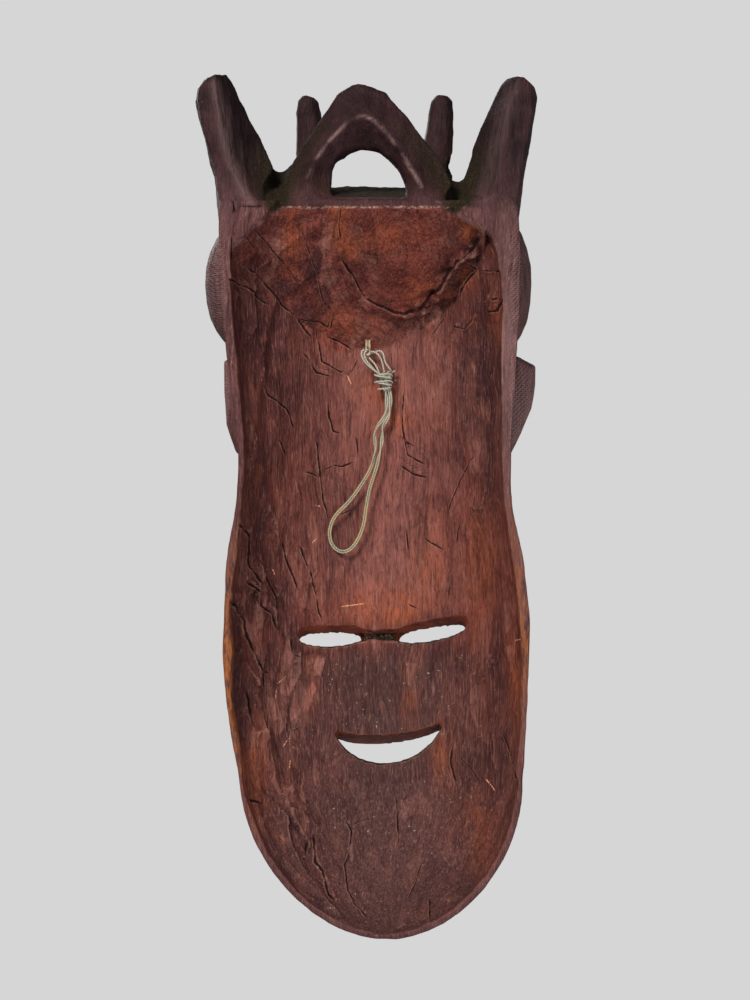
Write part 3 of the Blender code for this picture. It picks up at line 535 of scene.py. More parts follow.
def carve_body():
    node = frame["nodes"]["mask_body"]
    body = remeshed(node, "carved_body", VOXEL)
    mesh = body.data
    tree = BVHTree.FromPolygons(
        [v.co for v in node.data.vertices], [p.vertices for p in node.data.polygons]
    )
    pairs = edge_array(mesh)
    at = fitted(mesh, tree)
    mesh.vertices.foreach_set("co", at.ravel())
    mesh.update()
    normal = mesh_array(mesh, "normal")
    x, y, z = at.T

    # Regions of the surface.
    heights, left_edge, right_edge = rim_edges(tree)
    left, right = np.interp(z, heights, left_edge), np.interp(z, heights, right_edge)
    middle = (left + right) / 2
    centre = np.stack([middle, np.full_like(x, 0.05), np.clip(z, -0.40, -0.10)], 1)
    faces_in = ((centre - at) * normal).sum(1) > 0
    inside = faces_in & (x < left + 0.001) & (x > right - 0.001) & (y < -0.0008) & (z < -0.002)
    inside = averaged(inside.astype(float), pairs, 2)
    ceiling = smoothstep(0.80, 0.95, normal @ np.array(CEILING_NORMAL)) * (z > -0.105) * (inside > 0.3)
    ceiling = averaged(ceiling, pairs, 3)
    end_grain = averaged((in_outline(x, z, END_GRAIN) & (inside > 0.5)).astype(float), pairs, 2)
    slot_wall, still = np.zeros_like(x), np.zeros_like(x)
    for sx, sz, half_x, half_z, depth, slope in SLOTS.values():
        beside, above = abs(x - sx) - half_x, abs(z - sz + slope * (depth - y)) - half_z
        around_slot = smoothstep(0.007, 0.003, beside) * smoothstep(0.009, 0.004, above)
        still = np.maximum(still, around_slot * smoothstep(-0.028, -0.036, y))
        cut_through = smoothstep(0.0024, 0.0010, beside) * smoothstep(0.0024, 0.0010, above)
        slot_wall = np.maximum(slot_wall, cut_through * smoothstep(-0.030, -0.036, y))
    slot_wall *= smoothstep(0.85, 0.62, normal[:, 1])
    # Painted shade: the slots' lower walls, which face up, take the dark groove colour.
    slot_lower_shade = slot_wall * smoothstep(0.35, 0.60, normal[:, 2])
    slot_wall *= smoothstep(0.05, -0.20, normal[:, 2])
    outside = 1 - inside
    top = smoothstep(-0.030, 0.026, z) * outside

    # Gouge strokes in the hollow: along the grain, deepest low down on the left.
    around = np.arctan2(x - middle, 0.006 - y) * 0.072
    bend = 0.006 * lattice_noise(at, 0.05, 41)
    strokes, stroke_edge = gouges("strokes", around + bend, z)
    small, small_edge = gouges("small", around + bend, z + 0.004)
    low_left = smoothstep(-0.12, -0.22, z) * smoothstep(-0.010, 0.050, x)
    sides = smoothstep(0.025, 0.065, abs(x - middle))
    strength = 0.30 + 0.45 * low_left + 0.30 * sides + 0.25 * lattice_noise(at, 0.045, 11)
    strength = np.clip(strength, 0.15, 1.0)
    wall = inside * (1 - ceiling) * (1 - slot_wall) * (0.2 + 0.8 * smoothstep(-0.002, -0.014, y))
    cut = wall * strength * (strokes - 0.0026 + 0.55 * (small - 0.0011))
    cut += wall * 0.0008 * lattice_noise(at, 0.030, 12)

    # Slanted cuts on the ceiling's left, a smoother disc on its right, and broken wood beyond that.
    across = x * 0.74 + z * 0.87
    along = x * 0.67 - z * 0.96
    slanted, slanted_edge = gouges("slanted", across, along)
    rough, rough_edge = gouges("rough", x, z * 1.3)
    ceiling_left = smoothstep(-0.010, 0.014, x)
    disc_x, disc_z, outer, inner = DISC
    disc = np.hypot(x - disc_x, (z - disc_z) * 1.10) * (1 + 0.10 * lattice_noise(at, 0.016, 21))
    disc = smoothstep(outer, inner, disc) * smoothstep(-0.064, -0.052, x)
    beyond = smoothstep(-0.012, -0.032, x) * (1 - disc) + 0.22 * disc
    cut += ceiling * (ceiling_left * slanted + (1 - ceiling_left) * beyond * rough - 0.0008)

    ragged = inside * smoothstep(0.0065, 0.0015, ridge_distance(x, z, RAGGED))
    torn = lattice_noise(at, 0.0042, 51)
    cut += TEAR_DEPTH * ragged * torn

    # Steps along the knife lines, and the groove between the eyes.
    apart, reach, width, step = line_field(x, z, KNIFE_LINES)
    reach = reach * (inside > 0.6) * (1 - slot_wall)
    fall = np.exp(-((apart / 0.0045) ** 2))
    cut += KNIFE_STEP * reach * step * np.tanh(apart / 0.0009) * fall
    bx, bz, half_x, half_z = BRIDGE
    bridge = inside * smoothstep(half_x + 0.003, half_x, abs(x - bx)) * near(z, bz, half_z)
    cut += BRIDGE_DEPTH * bridge

    # The outside: broad soft facets, and chatter across the horns.
    broad, broad_edge = gouges("broad", x + 0.6 * y, z)
    back_facing = smoothstep(-0.002, -0.006, y)
    cut += outside * (1 - top) * 0.55 * broad * back_facing
    off_ridge = ridge_distance(x, z, ARCH_RIDGE)
    arch = smoothstep(0.003, 0.012, z) * smoothstep(0.050, 0.044, abs(x)) * smoothstep(-0.022, -0.001, y)
    chatter, _ = gouges("chatter", x + y, z)
    long_cuts, long_edge = gouges("long", x + y, z)
    cut += top * (0.5 * chatter + 0.9 * long_cuts)

    # Carved rims round the eyes and lips of the face.
    front = smoothstep(-0.2, -0.6, normal[:, 1]) * smoothstep(-0.035, -0.050, y)
    for name, (cx, cz, half_x, half_z) in SLOT_FRONT.items():
        grow = 1.30 if name == "mouth" else 1.45
        ring = np.hypot((x - cx) / (half_x * 1.10), (z - cz) / (half_z * grow))
        cut -= front * 0.0014 * near(ring, 1.12, 0.20)
        cut += front * 0.0008 * near(ring, 1.62, 0.16)

    # Wear all over, and dirt that has built up on the ledge.
    ledge = smoothstep(0.30, 0.75, normal[:, 2]) * smoothstep(-0.010, -0.002, z) * outside
    ledge *= smoothstep(0.032, 0.012, z) * smoothstep(-0.004, -0.010, y)
    cut += lattice_noise(at, 0.009, 31) * 0.00025 + lattice_noise(at, 0.026, 32) * 0.0004
    cut -= ledge * (0.0004 + 0.0006 * lattice_noise(at, 0.0045, 33))
    cut = (1 - still * (1 - bridge)) * cut - 0.0004 * outside
    at = at - normal * cut[:, None]
    at[:, 1] -= arch * 0.50 * np.minimum(off_ridge, 0.014)
    blend = (near(z, 0.001, 0.006) * outside * smoothstep(-0.012, -0.006, y))[:, None]
    for _ in range(16):
        at += blend * (averaged(at, pairs, 1) - at)
    # The hollow's two upper corners are cut across.
    corner = np.maximum(*((x - cx) * out_x + (z - cz) * out_z for cx, cz, out_x, out_z in CORNER_CUTS))
    filled = (x < 0.0785) & (x > -0.0685) & (y > -0.040) & (z < 0.001) & (z > -0.045)
    fill = 0.0002 - 2.2 * np.maximum(0.0, 0.0030 - corner)
    at[:, 1] = np.where(filled, np.maximum(at[:, 1], fill), at[:, 1])
    blend = (near(corner, 0.0, 0.004) * filled)[:, None]
    for _ in range(4):
        at += blend * (averaged(at, pairs, 1) - at)
    at[:, 1] = np.minimum(at[:, 1], 0.0004)
    mesh.vertices.foreach_set("co", at.ravel())
    mesh.polygons.foreach_set("use_smooth", np.ones(len(mesh.polygons), bool))
    mesh.update()
    normal = mesh_array(mesh, "normal")

    # Places for the colours.
    bulge = ((at - averaged(at, pairs, 6)) * normal).sum(1)
    edges = wall * np.maximum(strength * stroke_edge, 0.7 * small_edge)
    edges += ceiling * (ceiling_left * slanted_edge + (1 - ceiling_left) * beyond * rough_edge)
    edges += top * 0.5 * long_edge + outside * (1 - top) * 0.3 * broad_edge
    rim = smoothstep(-0.012, -0.004, y) * np.clip(outside + smoothstep(-0.008, -0.003, y), 0, 1)
    left_raw = rim * smoothstep(0.050, 0.065, x) * near(z, -0.275, 0.062)
    right_raw = rim * smoothstep(-0.070, -0.080, x) * near(z, -0.245, 0.062)
    corner_edge = near(corner, 0.0020, 0.0007) * filled
    corner = smoothstep(0.0005, 0.0025, corner) * (z > -0.045)
    # Painted shade on the horn facets that face in toward the middle.
    grime_and_shade = smoothstep(0.10, 0.60, -normal[:, 0] * np.sign(x)) * smoothstep(0.040, 0.055, abs(x))
    valley = np.minimum(1.4 * near(abs(x), 0.0525, 0.0075 + 0.24 * np.maximum(z, 0.0)), 1.0) * outside
    valley *= smoothstep(-0.011, -0.007, z) * smoothstep(0.046, 0.014, z)
    outer_facet = arch * ~in_outline(x, z, ARCH_RIDGE) * smoothstep(0.003, 0.009, off_ridge) * (z < 0.046)
    outer_facet = 0.6 * averaged(outer_facet, pairs, 3)
    lobe, ear = (smoothstep(0.079, 0.086, abs(x)) * near(z, *span) for span in (LOBE, EAR))
    # A painted highlight along the arch's ridge, faded near its apex.
    arch_ridge_highlight = arch * near(off_ridge, 0.0, 0.0009) * (1 - 0.8 * near(x, 0.008, 0.006))
    left_band, right_band = (ridge_distance(x, z, points) for points in HORN_RIDGES)
    # Painted light: a pale sheen down the horn ridges, and the ears and the right side painted paler as if
    # lit; the lobes a little paler too.
    horn_sheen = np.maximum(0.8 * near(left_band, 0.0, 0.0032), 0.5 * near(right_band, 0.0, 0.0045))
    lit_right_side = 0.45 * near(x, -0.084, 0.008) * near(z, -0.090, 0.070)
    lit_and_worn_sides = np.maximum(np.maximum(0.40 * lobe, ear), lit_right_side)
    worn_rim = near(x, right - 0.0004, 0.0007) * smoothstep(-0.005, -0.001, y) * near(z, -0.110, 0.070)
    scratch_apart, scratch_reach, _, _ = line_field(x, z, SCRATCHES, 0.001)
    pale = near(x, -0.014, 0.045) * smoothstep(-0.066, -0.086, z) * smoothstep(-0.250, -0.225, z)
    values = {
        "end_grain": end_grain,
        "disc": end_grain * disc * (1 - ceiling_left),
        "hollow": inside * (1 - corner),
        "slot_wall": slot_wall,
        "bulge": 0.5 + bulge / 0.0020,
        "facet_edge": edges,
        "raw": np.maximum(left_raw, 0.55 * right_raw),
        "moss": np.maximum(np.maximum(ledge, valley), outer_facet),
        "groove_and_shade": np.maximum(bridge, slot_lower_shade),
        "grey": inside * smoothstep(-0.252, -0.275, z) * near(x, -0.008, 0.070),
        "pale": inside * pale,
        "glow": inside * patches(x, z, GLOWS) * (1 - corner),
        "stain_and_shade": inside * np.maximum(patches(x, z, STAINS_AND_SHADE), ragged * smoothstep(-0.2, 0.5, torn)),
        "grime_and_shade": top * grime_and_shade,
        "dark_top": top,
        "chips": inside * np.clip(0.35 + 0.5 * strength + 0.6 * ceiling * (1 - disc), 0, 1.2) * (1 - still),
        "ridge": np.maximum(arch_ridge_highlight, np.maximum(worn_rim, corner_edge)),
        "scratch_apart": 0.5 + scratch_apart / 0.016,
        "scratch_reach": scratch_reach * (inside > 0.6),
        "hatch": np.maximum(lobe, ear) * outside,
        "wear_and_painted_light": np.maximum(lit_and_worn_sides * smoothstep(-0.060, -0.040, y), 0.42 * horn_sheen) * outside,
        "knife_apart": 0.5 + apart / 0.016,
        "knife_reach": reach * (1 - corner),
        "knife_width": width,
    }
    for name, value in values.items():
        set_attribute(mesh, name, value)
    return body


# ---- Materials ----


class Nodes:
    """A short way to add and join shader nodes."""

    def __init__(self, mat):
        mat.use_nodes = True
        self.tree = mat.node_tree
        self.shader = self.tree.nodes["Principled BSDF"]
        self.colour = None

    def add(self, kind, settings=None, **inputs):
        node = self.tree.nodes.new(kind)
        for key, value in (settings or {}).items():
            setattr(node, key, value)
        for key, value in inputs.items():
            self.put(node.inputs[key.replace("_", " ")], value)
        return node

    def put(self, socket, value):
        if isinstance(value, bpy.types.NodeSocket):
            self.tree.links.new(value, socket)
        else:
            socket.default_value = value

    def math(self, operation, a, b=0.0, clamp=False):
        node = self.tree.nodes.new("ShaderNodeMath")
        node.operation = operation
        node.use_clamp = clamp
        self.put(node.inputs[0], a)
        self.put(node.inputs[1], b)
        return node.outputs[0]

    def times(self, a, b):
        return self.math("MULTIPLY", a, b)

    def plus(self, a, b):
        return self.math("ADD", a, b)

    def minus(self, a, b):
        return self.math("SUBTRACT", a, b)

    def size(self, a):
        return self.math("ABSOLUTE", a)

    def mix(self, share, a, b, blend="MIX"):
        node = self.tree.nodes.new("ShaderNodeMix")
        node.data_type = "RGBA"
        node.blend_type = blend
        self.put(node.inputs[0], share)
        self.put(node.inputs[6], a)
        self.put(node.inputs[7], b)
        return node.outputs[2]

    def lay(self, share, amount, colour, blend="MIX"):
        """Puts a colour over those laid so far: where share says, and as thickly as amount says."""
        if isinstance(colour, tuple) and len(colour) == 3:
            colour = srgb(*colour)
        if amount != 1.0:
            share = self.times(share, amount)
        self.colour = self.mix(share, self.colour, colour, blend)

    def finish(self, height, strength, distance):
        """Gives the shader the colours laid so far, and the relief of a height."""
        self.put(self.shader.inputs["Base Color"], self.colour)
        bump = self.add("ShaderNodeBump", None, Strength=strength, Distance=distance, Height=height)
        self.put(self.shader.inputs["Normal"], bump.outputs["Normal"])

    def attribute(self, name):
        return self.add("ShaderNodeAttribute", {"attribute_name": name}).outputs["Fac"]

    def ramp(self, value, low, high):
        settings = {"interpolation_type": "SMOOTHSTEP"}
        return self.add("ShaderNodeMapRange", settings, Value=value, From_Min=low, From_Max=high).outputs[0]

    def noise(self, vector, scale, detail=4.0, roughness=0.55):
        inputs = {"Vector": vector, "Scale": scale, "Detail": detail, "Roughness": roughness}
        return self.add("ShaderNodeTexNoise", None, **inputs).outputs["Fac"]

    def mapping(self, vector, along=1, place=(0, 0, 0)):
        """The vector moved to place, and its Z shortened to the share along."""
        inputs = {"Vector": vector, "Location": place, "Scale": (1, 1, along)}
        return self.add("ShaderNodeMapping", None, **inputs).outputs[0]

    def vector(self, operation, a, b):
        node = self.add("ShaderNodeVectorMath", {"operation": operation})
        self.put(node.inputs[0], a)
        self.put(node.inputs[1], b)
        return node.outputs["Value" if operation == "DOT_PRODUCT" else "Vector"]


def srgb(red, green, blue):
    def linear(c):
        c /= 255
        return c / 12.92 if c <= 0.04045 else ((c + 0.055) / 1.055) ** 2.4

    return (linear(red), linear(green), linear(blue), 1.0)


def chips(n, vector, scale, slope):
    """Small flat cuts, each tilted its own way: their height in millimetres, and a tone for each."""
    cells = n.add("ShaderNodeTexVoronoi", {"feature": "F1"}, Vector=vector, Scale=scale)
    tilt = n.vector("SUBTRACT", cells.outputs["Color"], (0.5, 0.5, 0.5))
    offset = n.vector("SUBTRACT", vector, cells.outputs["Position"])
    height = n.vector("DOT_PRODUCT", offset, tilt)
    tone = n.add("ShaderNodeSeparateColor", None, Color=cells.outputs["Color"]).outputs["Green"]
    return n.times(height, 1000 * slope), tone


def total(n, *terms):
    """The sum of (factor, value) terms."""
    result = 0.0
    for factor, value in terms:
        result = n.plus(result, n.times(value, factor))
    return result


def wood_material():
    mat = bpy.data.materials.new("carved_wood_stained")
    n = Nodes(mat)
    place = n.add("ShaderNodeTexCoord").outputs["Object"]

    # Fibres run along the log and waver a little; growth rings lie round its pith.
    waver = n.noise(n.mapping(place, 0.5), 28.0, 2.0)
    shift = n.add("ShaderNodeCombineXYZ", None, X=n.times(n.minus(waver, 0.5), 0.012))
    wavy = n.vector("ADD", place, shift.outputs[0])
    log = n.mapping(place, place=(-PITH[0], -PITH[1], 0.0))
    rings = n.add(
        "ShaderNodeTexWave", {"wave_type": "RINGS", "rings_direction": "Z", "wave_profile": "SIN"},
        Vector=log, Scale=85.0, Distortion=5.0, Detail=3.0, Detail_Scale=0.9,
    ).outputs["Fac"]
    grain = n.noise(n.mapping(wavy, 0.16), 1500.0, 3.0, 0.6)
    fibre = n.noise(n.mapping(wavy, 0.10), 850.0, 3.0, 0.6)
    strand = n.noise(n.mapping(wavy, 0.10), 330.0, 4.0, 0.65)
    streak = n.noise(n.mapping(wavy, 0.14), 95.0, 4.0, 0.6)
    cloud = n.noise(place, 18.0, 4.0, 0.6)
    blotch = n.noise(place, 70.0, 5.0, 0.65)
    speck = n.noise(place, 1100.0, 3.0, 0.7)
    large_chips, large_tone = chips(n, n.mapping(wavy, 0.30), 62.0, 0.55)
    small_chips, small_tone = chips(n, n.mapping(wavy, 0.42), 150.0, 0.60)

    end, disc = n.attribute("end_grain"), n.attribute("disc")
    hollow, top = n.attribute("hollow"), n.attribute("dark_top")
    bulge, facet_edge, moss = n.attribute("bulge"), n.attribute("facet_edge"), n.attribute("moss")
    chip_share = n.attribute("chips")
    end = n.ramp(n.plus(end, n.times(n.minus(blotch, 0.5), 0.8)), 0.30, 0.70)

    n.colour = n.mix(n.ramp(cloud, 0.36, 0.64), srgb(74, 36, 33), srgb(102, 49, 40))
    n.lay(n.ramp(streak, 0.45, 0.70), 0.55, (130, 68, 52))
    n.lay(n.attribute("pale"), 0.60, (146, 84, 72))
    n.lay(n.attribute("grey"), 0.75, (74, 49, 45))
    red = n.mix(n.ramp(blotch, 0.38, 0.62), srgb(84, 32, 30), srgb(142, 66, 53))
    n.lay(end, 0.75, red)
    n.lay(disc, 0.35, (96, 38, 28))
    tone = n.minus(total(n, (0.6, large_tone), (0.4, small_tone)), 0.5)
    tone = n.times(tone, chip_share)
    n.lay(n.ramp(tone, 0.02, 0.45), 1.0, (150, 92, 78))
    n.lay(n.ramp(tone, -0.02, -0.50), 1.0, (58, 30, 31))
    outside = n.mix(n.ramp(cloud, 0.3, 0.7), srgb(66, 38, 37), srgb(98, 60, 58))
    outer = n.math("SUBTRACT", 1.0, hollow, clamp=True)
    n.lay(outer, 0.9, outside)
    glow = n.times(n.attribute("glow"), n.ramp(blotch, 0.25, 0.60))
    n.lay(glow, 0.85, (186, 90, 48))
    # Dark purple stains, and painted shade on the side walls under the ceiling.
    stain_and_shade = n.times(n.attribute("stain_and_shade"), n.ramp(blotch, 0.30, 0.55))
    n.lay(stain_and_shade, 0.8, (46, 24, 27))

    # Fibres, pores and rings.
    n.lay(n.ramp(streak, 0.46, 0.30), 0.45, (52, 27, 28))
    plain = n.colour
    n.lay(n.ramp(strand, 0.50, 0.32), 0.50, (46, 20, 20))
    n.lay(n.ramp(fibre, 0.52, 0.72), 0.24, (176, 118, 98))
    n.lay(n.ramp(fibre, 0.48, 0.30), 0.45, (46, 20, 20))
    n.lay(n.ramp(grain, 0.46, 0.30), 0.55, (34, 14, 15))
    n.lay(n.ramp(grain, 0.56, 0.74), 0.25, (186, 132, 112))
    n.lay(top, 0.6, plain)
    ring_share = n.times(n.ramp(rings, 0.60, 1.0), n.times(end, 0.28))
    n.lay(ring_share, 1.0, (58, 22, 18))

    # Proud edges are rubbed paler; hollows get painted shade, and the strokes' edges hold dirt.
    rubbed = n.times(n.ramp(bulge, 0.58, 0.85), n.plus(0.05, n.times(hollow, 0.35)))
    n.lay(rubbed, 1.0, (166, 112, 96))
    # Painted shade where the surface curves inward.
    n.lay(n.ramp(bulge, 0.44, 0.15), 0.65, (36, 16, 17))
    broken = n.ramp(blotch, 0.42, 0.60)
    n.lay(n.times(facet_edge, broken), 0.45, (44, 20, 20))

    # The knife lines.
    tremble = n.times(n.minus(n.noise(place, 170.0, 6.0, 0.72), 0.5), 1.9)
    apart = n.times(n.minus(n.attribute("knife_apart"), 0.5), 16.0)
    apart = n.plus(apart, tremble)
    width = n.times(n.attribute("knife_width"), n.ramp(n.noise(place, 120.0, 2.0), 0.25, 0.60))
    share = n.math("DIVIDE", n.size(apart), n.plus(width, 0.05))
    lines = n.times(n.ramp(share, 1.4, 0.5), n.attribute("knife_reach"))
    n.lay(lines, 0.9, (22, 9, 10))
    lip = n.minus(apart, n.times(width, 2.0))
    lip = n.times(n.ramp(n.size(lip), 0.45, 0.1), n.attribute("knife_reach"))
    lip = n.times(lip, n.ramp(n.attribute("knife_width"), 0.75, 0.55))
    n.lay(lip, 0.20, (186, 128, 104))

    scratch = n.times(n.minus(n.attribute("scratch_apart"), 0.5), 16.0)
    scratch = n.plus(scratch, n.times(tremble, 0.5))
    scratch = n.times(n.ramp(n.size(scratch), 0.50, 0.15), n.attribute("scratch_reach"))
    scratch = n.times(scratch, n.ramp(n.noise(place, 900.0, 2.0), 0.40, 0.55))
    n.lay(scratch, 0.85, (226, 150, 112))

    # The crest and horns are darkened with age; the horn facets that face in toward the middle get painted
    # shade.
    dark = n.mix(n.ramp(blotch, 0.32, 0.68), (0.20, 0.21, 0.23, 1.0), (0.40, 0.42, 0.47, 1.0))
    n.lay(top, 1.0, dark, "MULTIPLY")
    # Painted shade on the horns' inward-facing facets.
    n.lay(n.attribute("grime_and_shade"), 1.0, (0.40, 0.42, 0.42, 1.0), "MULTIPLY")
    # Painted light: the ears, lobes and right side made paler, and a painted sheen down the horn ridges.
    wear_and_painted_light = n.times(n.attribute("wear_and_painted_light"), n.ramp(strand, 0.25, 0.55))
    n.lay(wear_and_painted_light, 0.7, (152, 112, 106))
    # Light lines: a painted highlight on the arch's ridge, and paler wood on the hollow's right rim and the
    # corner cuts' edges.
    ridge = n.times(n.attribute("ridge"), n.ramp(blotch, 0.42, 0.60))
    n.lay(ridge, 0.48, (166, 124, 114))

    # Raw wood on the worn rim, pale fibres on the hollow's upper edge, moss and dust.
    fleck = n.noise(n.mapping(place, 0.22), 420.0, 4.0, 0.7)
    raw = n.times(n.attribute("raw"), n.ramp(fleck, 0.38, 0.56))
    n.lay(raw, 0.85, (160, 88, 40))
    split = n.add("ShaderNodeSeparateXYZ", None, Vector=place)
    edge = n.plus(split.outputs["Z"], n.times(tremble, 0.0016))
    edge = n.ramp(n.size(n.plus(edge, 0.0030)), 0.0010, 0.0003)
    edge = n.times(edge, n.ramp(split.outputs["Y"], -0.0045, -0.0025))
    edge = n.times(edge, n.ramp(n.size(split.outputs["X"]), 0.058, 0.050))
    edge = n.times(edge, n.ramp(n.noise(place, 500.0, 3.0, 0.7), 0.40, 0.62))
    n.lay(edge, 0.55, (190, 146, 124))
    mossy = n.mix(n.ramp(speck, 0.35, 0.65), srgb(23, 17, 11), srgb(56, 44, 28))
    n.lay(n.times(moss, n.ramp(blotch, 0.20, 0.42)), 1.0, mossy)
    dust = n.ramp(n.noise(place, 520.0, 2.0, 0.5), 0.70, 0.75)
    dust = n.times(dust, n.plus(0.06, n.times(n.attribute("grey"), 0.6)))
    n.lay(dust, 1.0, (176, 156, 126))
    # Dirt in the groove between the eyes, and painted shade on the slots' lower walls.
    pit = n.mix(n.ramp(speck, 0.53, 0.64), srgb(20, 14, 9), srgb(104, 84, 52))
    n.lay(n.ramp(n.attribute("groove_and_shade"), 0.25, 0.70), 0.95, pit)
    inner = n.mix(n.ramp(streak, 0.35, 0.65), srgb(92, 32, 18), srgb(138, 54, 30))
    n.lay(n.attribute("slot_wall"), 0.95, inner)
    n.lay(1.0, 1.0, (0.98, 1.12, 1.24, 1.0), "MULTIPLY")

    rough = total(n, (1.0, 0.42), (0.25, strand), (0.6, moss), (0.3, lines))
    n.put(n.shader.inputs["Roughness"], rough)

    bands = [
        n.add(
            "ShaderNodeTexWave", {"wave_type": "BANDS", "bands_direction": direction},
            Vector=place, Scale=scale, Distortion=1.5,
        ).outputs["Fac"]
        for direction, scale in (("DIAGONAL", 230.0), ("Z", 260.0))
    ]
    hatch = n.times(n.attribute("hatch"), n.times(*bands))
    cuts = n.times(n.plus(large_chips, small_chips), chip_share)
    height = total(
        n, (0.35, grain), (0.70, fibre), (1.1, strand), (0.9, streak), (0.7, blotch), (-0.9, lines),
        (-0.8, hatch), (0.8, n.times(moss, speck)), (0.7, cuts),
        (0.5, n.times(n.ramp(apart, -0.4, 0.4), n.attribute("knife_reach"))),
    )
    n.shader.inputs["Specular IOR Level"].default_value = 0.09
    n.finish(height, 1.0, 0.001)
    return mat


def cord_material():
    mat = bpy.data.materials.new("dusty_string")
    n = Nodes(mat)
    place = n.add("ShaderNodeTexCoord").outputs["Object"]
    patch = n.noise(place, 130.0, 3.0)
    fine = n.noise(place, 1600.0, 3.0)
    n.colour = n.mix(n.ramp(patch, 0.35, 0.65), srgb(150, 145, 124), srgb(186, 176, 142))
    height = n.add("ShaderNodeSeparateXYZ", None, Vector=place).outputs["Z"]
    n.lay(n.ramp(height, -0.135, -0.105), 0.75, (184, 182, 170))
    golden = n.times(n.ramp(height, -0.140, -0.160), n.ramp(patch, 0.40, 0.60))
    n.lay(golden, 0.7, (176, 146, 84))
    n.lay(n.ramp(fine, 0.4, 0.7), 0.5, (214, 208, 188))
    # Painted shade in the plies' grooves and on the strands' sides that face away from the back.
    n.lay(n.attribute("groove_and_shade"), 0.9, (30, 26, 20))
    n.shader.inputs["Roughness"].default_value = 0.85
    n.finish(fine, 0.5, 0.0002)
    return mat


def staple_material():
    mat = bpy.data.materials.new("dusty_wire")
    n = Nodes(mat)
    place = n.add("ShaderNodeTexCoord").outputs["Object"]
    grime_and_shade = n.noise(place, 500.0, 4.0)
    n.colour = n.mix(n.ramp(grime_and_shade, 0.35, 0.65), srgb(122, 104, 82), srgb(188, 170, 138))
    n.put(n.shader.inputs["Roughness"], n.plus(0.4, n.times(grime_and_shade, 0.4)))
    n.shader.inputs["Metallic"].default_value = 0.35
    n.finish(grime_and_shade, 0.4, 0.0002)
    return mat


# ---- Cord ----


def smooth_line(points, spacing):
    """Points evenly spaced on a smooth curve through the given ones."""
    p = np.array(points, float)
    p = np.vstack([2 * p[0] - p[1], p, 2 * p[-1] - p[-2]])
    t = np.linspace(0, 1, 12, endpoint=False)[:, None]
    pieces = []
    for a, b, c, d in zip(p, p[1:], p[2:], p[3:]):
        pieces.append(
            0.5 * (2 * b + (c - a) * t + (2 * a - 5 * b + 4 * c - d) * t**2 + (3 * b - a - 3 * c + d) * t**3)
        )
    fine = np.vstack([*pieces, p[-2:-1]])
    run = np.concatenate([[0], np.cumsum(np.linalg.norm(np.diff(fine, axis=0), axis=1))])
    marks = np.linspace(0, run[-1], max(2, int(round(run[-1] / spacing)) + 1))
    return np.stack([np.interp(marks, run, fine[:, k]) for k in range(3)], 1)


def unit_rows(rows):
    return rows / np.linalg.norm(rows, axis=1)[:, None]


def loop_strand(side, start_turn):
    """One strand of the pair that goes down from the knot, round the drop-shaped loop and up again."""
    line = smooth_line(LOOP_ROUTE, 0.0012)
    tangent = unit_rows(np.gradient(line, axis=0))
    flat = unit_rows(np.cross(tangent, (0.0, 1.0, 0.0)))
    out = np.cross(flat, tangent)
    turn = start_turn + 2 * math.pi * np.clip(line[:, 2] - PAIR_LOW, 0.0, None) / PAIR_TURN
    offset = np.cos(turn)[:, None] * flat + np.sin(turn)[:, None] * out
    return line + side * STRAND_SIDE * offset


def knot_wraps():
    points = []
    for k, (middle, half, right_z, left_z) in enumerate(KNOT_TURNS):
        for step in range(12):
            a = 2 * math.pi * step / 12
            share = (1 - math.cos(a)) / 2
            fall = 0.0016 * step / 12
            points.append((middle - half * math.cos(a), -KNOT_HALF_DEPTH * math.sin(a),
                           right_z + (left_z - right_z) * share - fall))
    return points


def settled(line, gap, rounds):
    """The line with its strands pushed apart until they lie beside each other."""
    home = line.copy()
    spacing = np.linalg.norm(np.diff(line, axis=0), axis=1).mean()
    apart = int(2.2 * gap / spacing)
    index = np.arange(len(line))
    far_along = abs(index[:, None] - index[None, :]) > apart
    for _ in range(rounds):
        delta = line[:, None, :] - line[None, :, :]
        distance = np.linalg.norm(delta, axis=2)
        touching = far_along & (distance < gap)
        push = np.where(touching, (gap - distance) / np.maximum(distance, 1e-5), 0.0)
        line = line + 0.30 * (delta * push[:, :, None]).sum(1)
        line[1:-1] += 0.25 * (line[:-2] + line[2:] - 2 * line[1:-1])
        line += 0.02 * (home - line)
        line[0], line[-1] = home[0], home[-1]
    return line


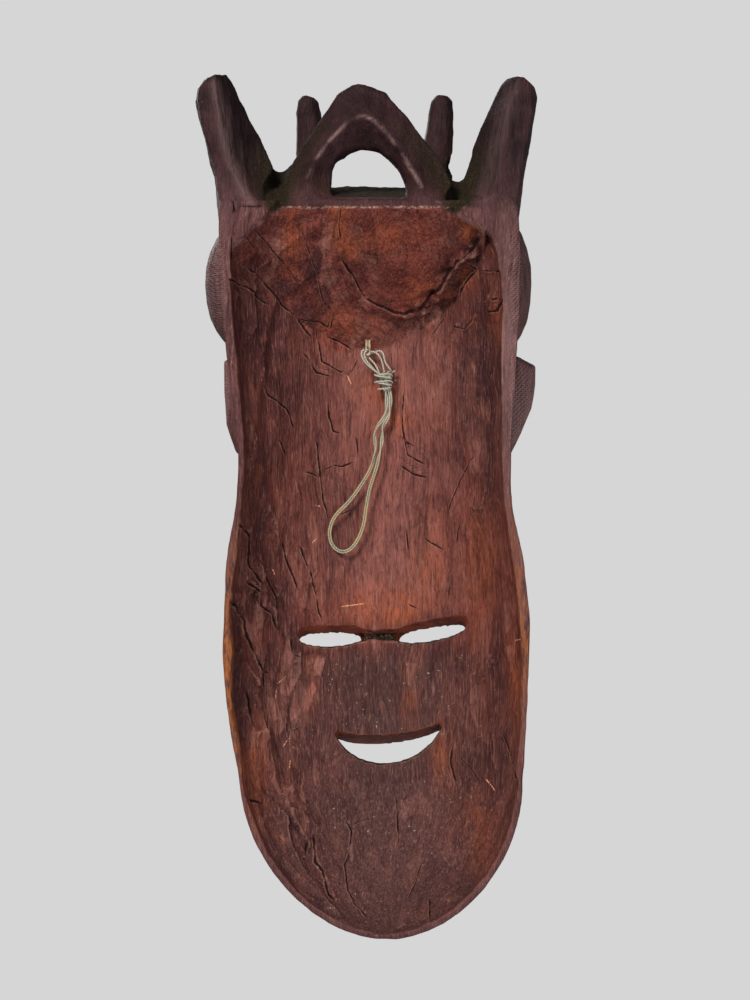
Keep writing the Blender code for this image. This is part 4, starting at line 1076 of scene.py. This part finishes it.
def twisted_string(name, line, radius, pitch):
    """A two-ply string: rings of two lobes that turn along the line."""
    count = 10
    tangent = unit_rows(np.gradient(line, axis=0))
    side = np.zeros_like(line)
    first = np.cross(tangent[0], (0.3, 1.0, 0.2))
    side[0] = first / np.linalg.norm(first)
    for i in range(1, len(line)):
        s = side[i - 1] - tangent[i] * (side[i - 1] @ tangent[i])
        side[i] = s / np.linalg.norm(s)
    up = np.cross(tangent, side)
    run = np.concatenate([[0], np.cumsum(np.linalg.norm(np.diff(line, axis=0), axis=1))])
    twist = 2 * math.pi * run / pitch
    angle = np.linspace(0, 2 * math.pi, count, endpoint=False)
    lobe = np.abs(np.cos(angle)) ** 0.7
    size = radius * (0.66 + 0.36 * lobe)
    turned = angle[None, :] + twist[:, None]
    rings = line[:, None, :] + size[None, :, None] * (
        np.cos(turned)[:, :, None] * side[:, None, :] + np.sin(turned)[:, :, None] * up[:, None, :]
    )
    n = len(line)
    verts = [tuple(p) for p in rings.reshape(-1, 3)] + [tuple(line[0]), tuple(line[-1])]
    faces = [
        (i * count + j, i * count + (j + 1) % count, (i + 1) * count + (j + 1) % count, (i + 1) * count + j)
        for i in range(n - 1)
        for j in range(count)
    ]
    faces += [(n * count, (j + 1) % count, j) for j in range(count)]
    last = (n - 1) * count
    faces += [(n * count + 1, last + j, last + (j + 1) % count) for j in range(count)]
    mesh = bpy.data.meshes.new(name)
    mesh.from_pydata(verts, [], faces)
    mesh.update()
    mesh.polygons.foreach_set("use_smooth", np.ones(len(mesh.polygons), bool))
    # Painted shade: the grooves between the plies, and the strands' sides that face away from the back (+Y),
    # are darkened.
    toward_back = mesh_array(mesh, "normal")[:, 1]
    groove_and_shade = np.append(np.tile(1 - lobe, n), [0.5, 0.5])
    set_attribute(mesh, "groove_and_shade", np.maximum(groove_and_shade, 0.85 * smoothstep(0.42, -0.05, toward_back)))
    return link(bpy.data.objects.new(name, mesh))


def make_cord():
    crown = np.array(CROWN)
    route = [
        *FIRST_RUN, *loop_strand(1, 0.4)[::3], *SECOND_RUN, *loop_strand(-1, 0.4)[::3], *THIRD_RUN,
        *knot_wraps(), *TAIL_RUN,
    ]
    line = smooth_line(route, 0.0006)
    line = settled(line, 1.02 * STRAND, 60)
    line = smooth_line(line, 0.00030) + crown
    cord = twisted_string("hanging_string", line, STRAND / 2, PLY_TURN)
    cord.data.materials.append(cord_material())
    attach(cord, "cord")
    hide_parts("cord_bridle", "cord_knot", "cord_loop")


# ---- Staple ----


def make_staple():
    out = Vector((0, math.cos(STAPLE_FALL), -math.sin(STAPLE_FALL)))
    side = Vector((STAPLE_HALF, 0, 0))
    foot = CROWN - out * STAPLE_LENGTH
    bend_start = CROWN - out * STAPLE_HALF
    bend = [
        bend_start + side * math.cos(a) + out * STAPLE_HALF * math.sin(a)
        for a in (math.pi * k / 16 for k in range(17))
    ]
    curve = bpy.data.curves.new("wire_staple", "CURVE")
    curve.dimensions = "3D"
    curve.bevel_depth = STAPLE_WIRE
    curve.bevel_resolution = 4
    curve.use_fill_caps = True
    line = curve.splines.new("POLY")
    points = [foot + side, *bend, foot - side]
    line.points.add(len(points) - 1)
    for place, p in zip(line.points, points):
        place.co = (*p, 1.0)
    staple = link(bpy.data.objects.new("wire_staple", curve))
    curve.materials.append(staple_material())
    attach(staple, "mask")
    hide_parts("hanging_staple")


# ---- Put together ----

make_camera()
make_cord()
make_world()
make_floor()
for light_name, light in LIGHTS.items():
    area_light(light_name, *light)
make_staple()
body = carve_body()
body.data.materials.clear()
body.data.materials.append(wood_material())
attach(body, "mask")
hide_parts("mask_body")
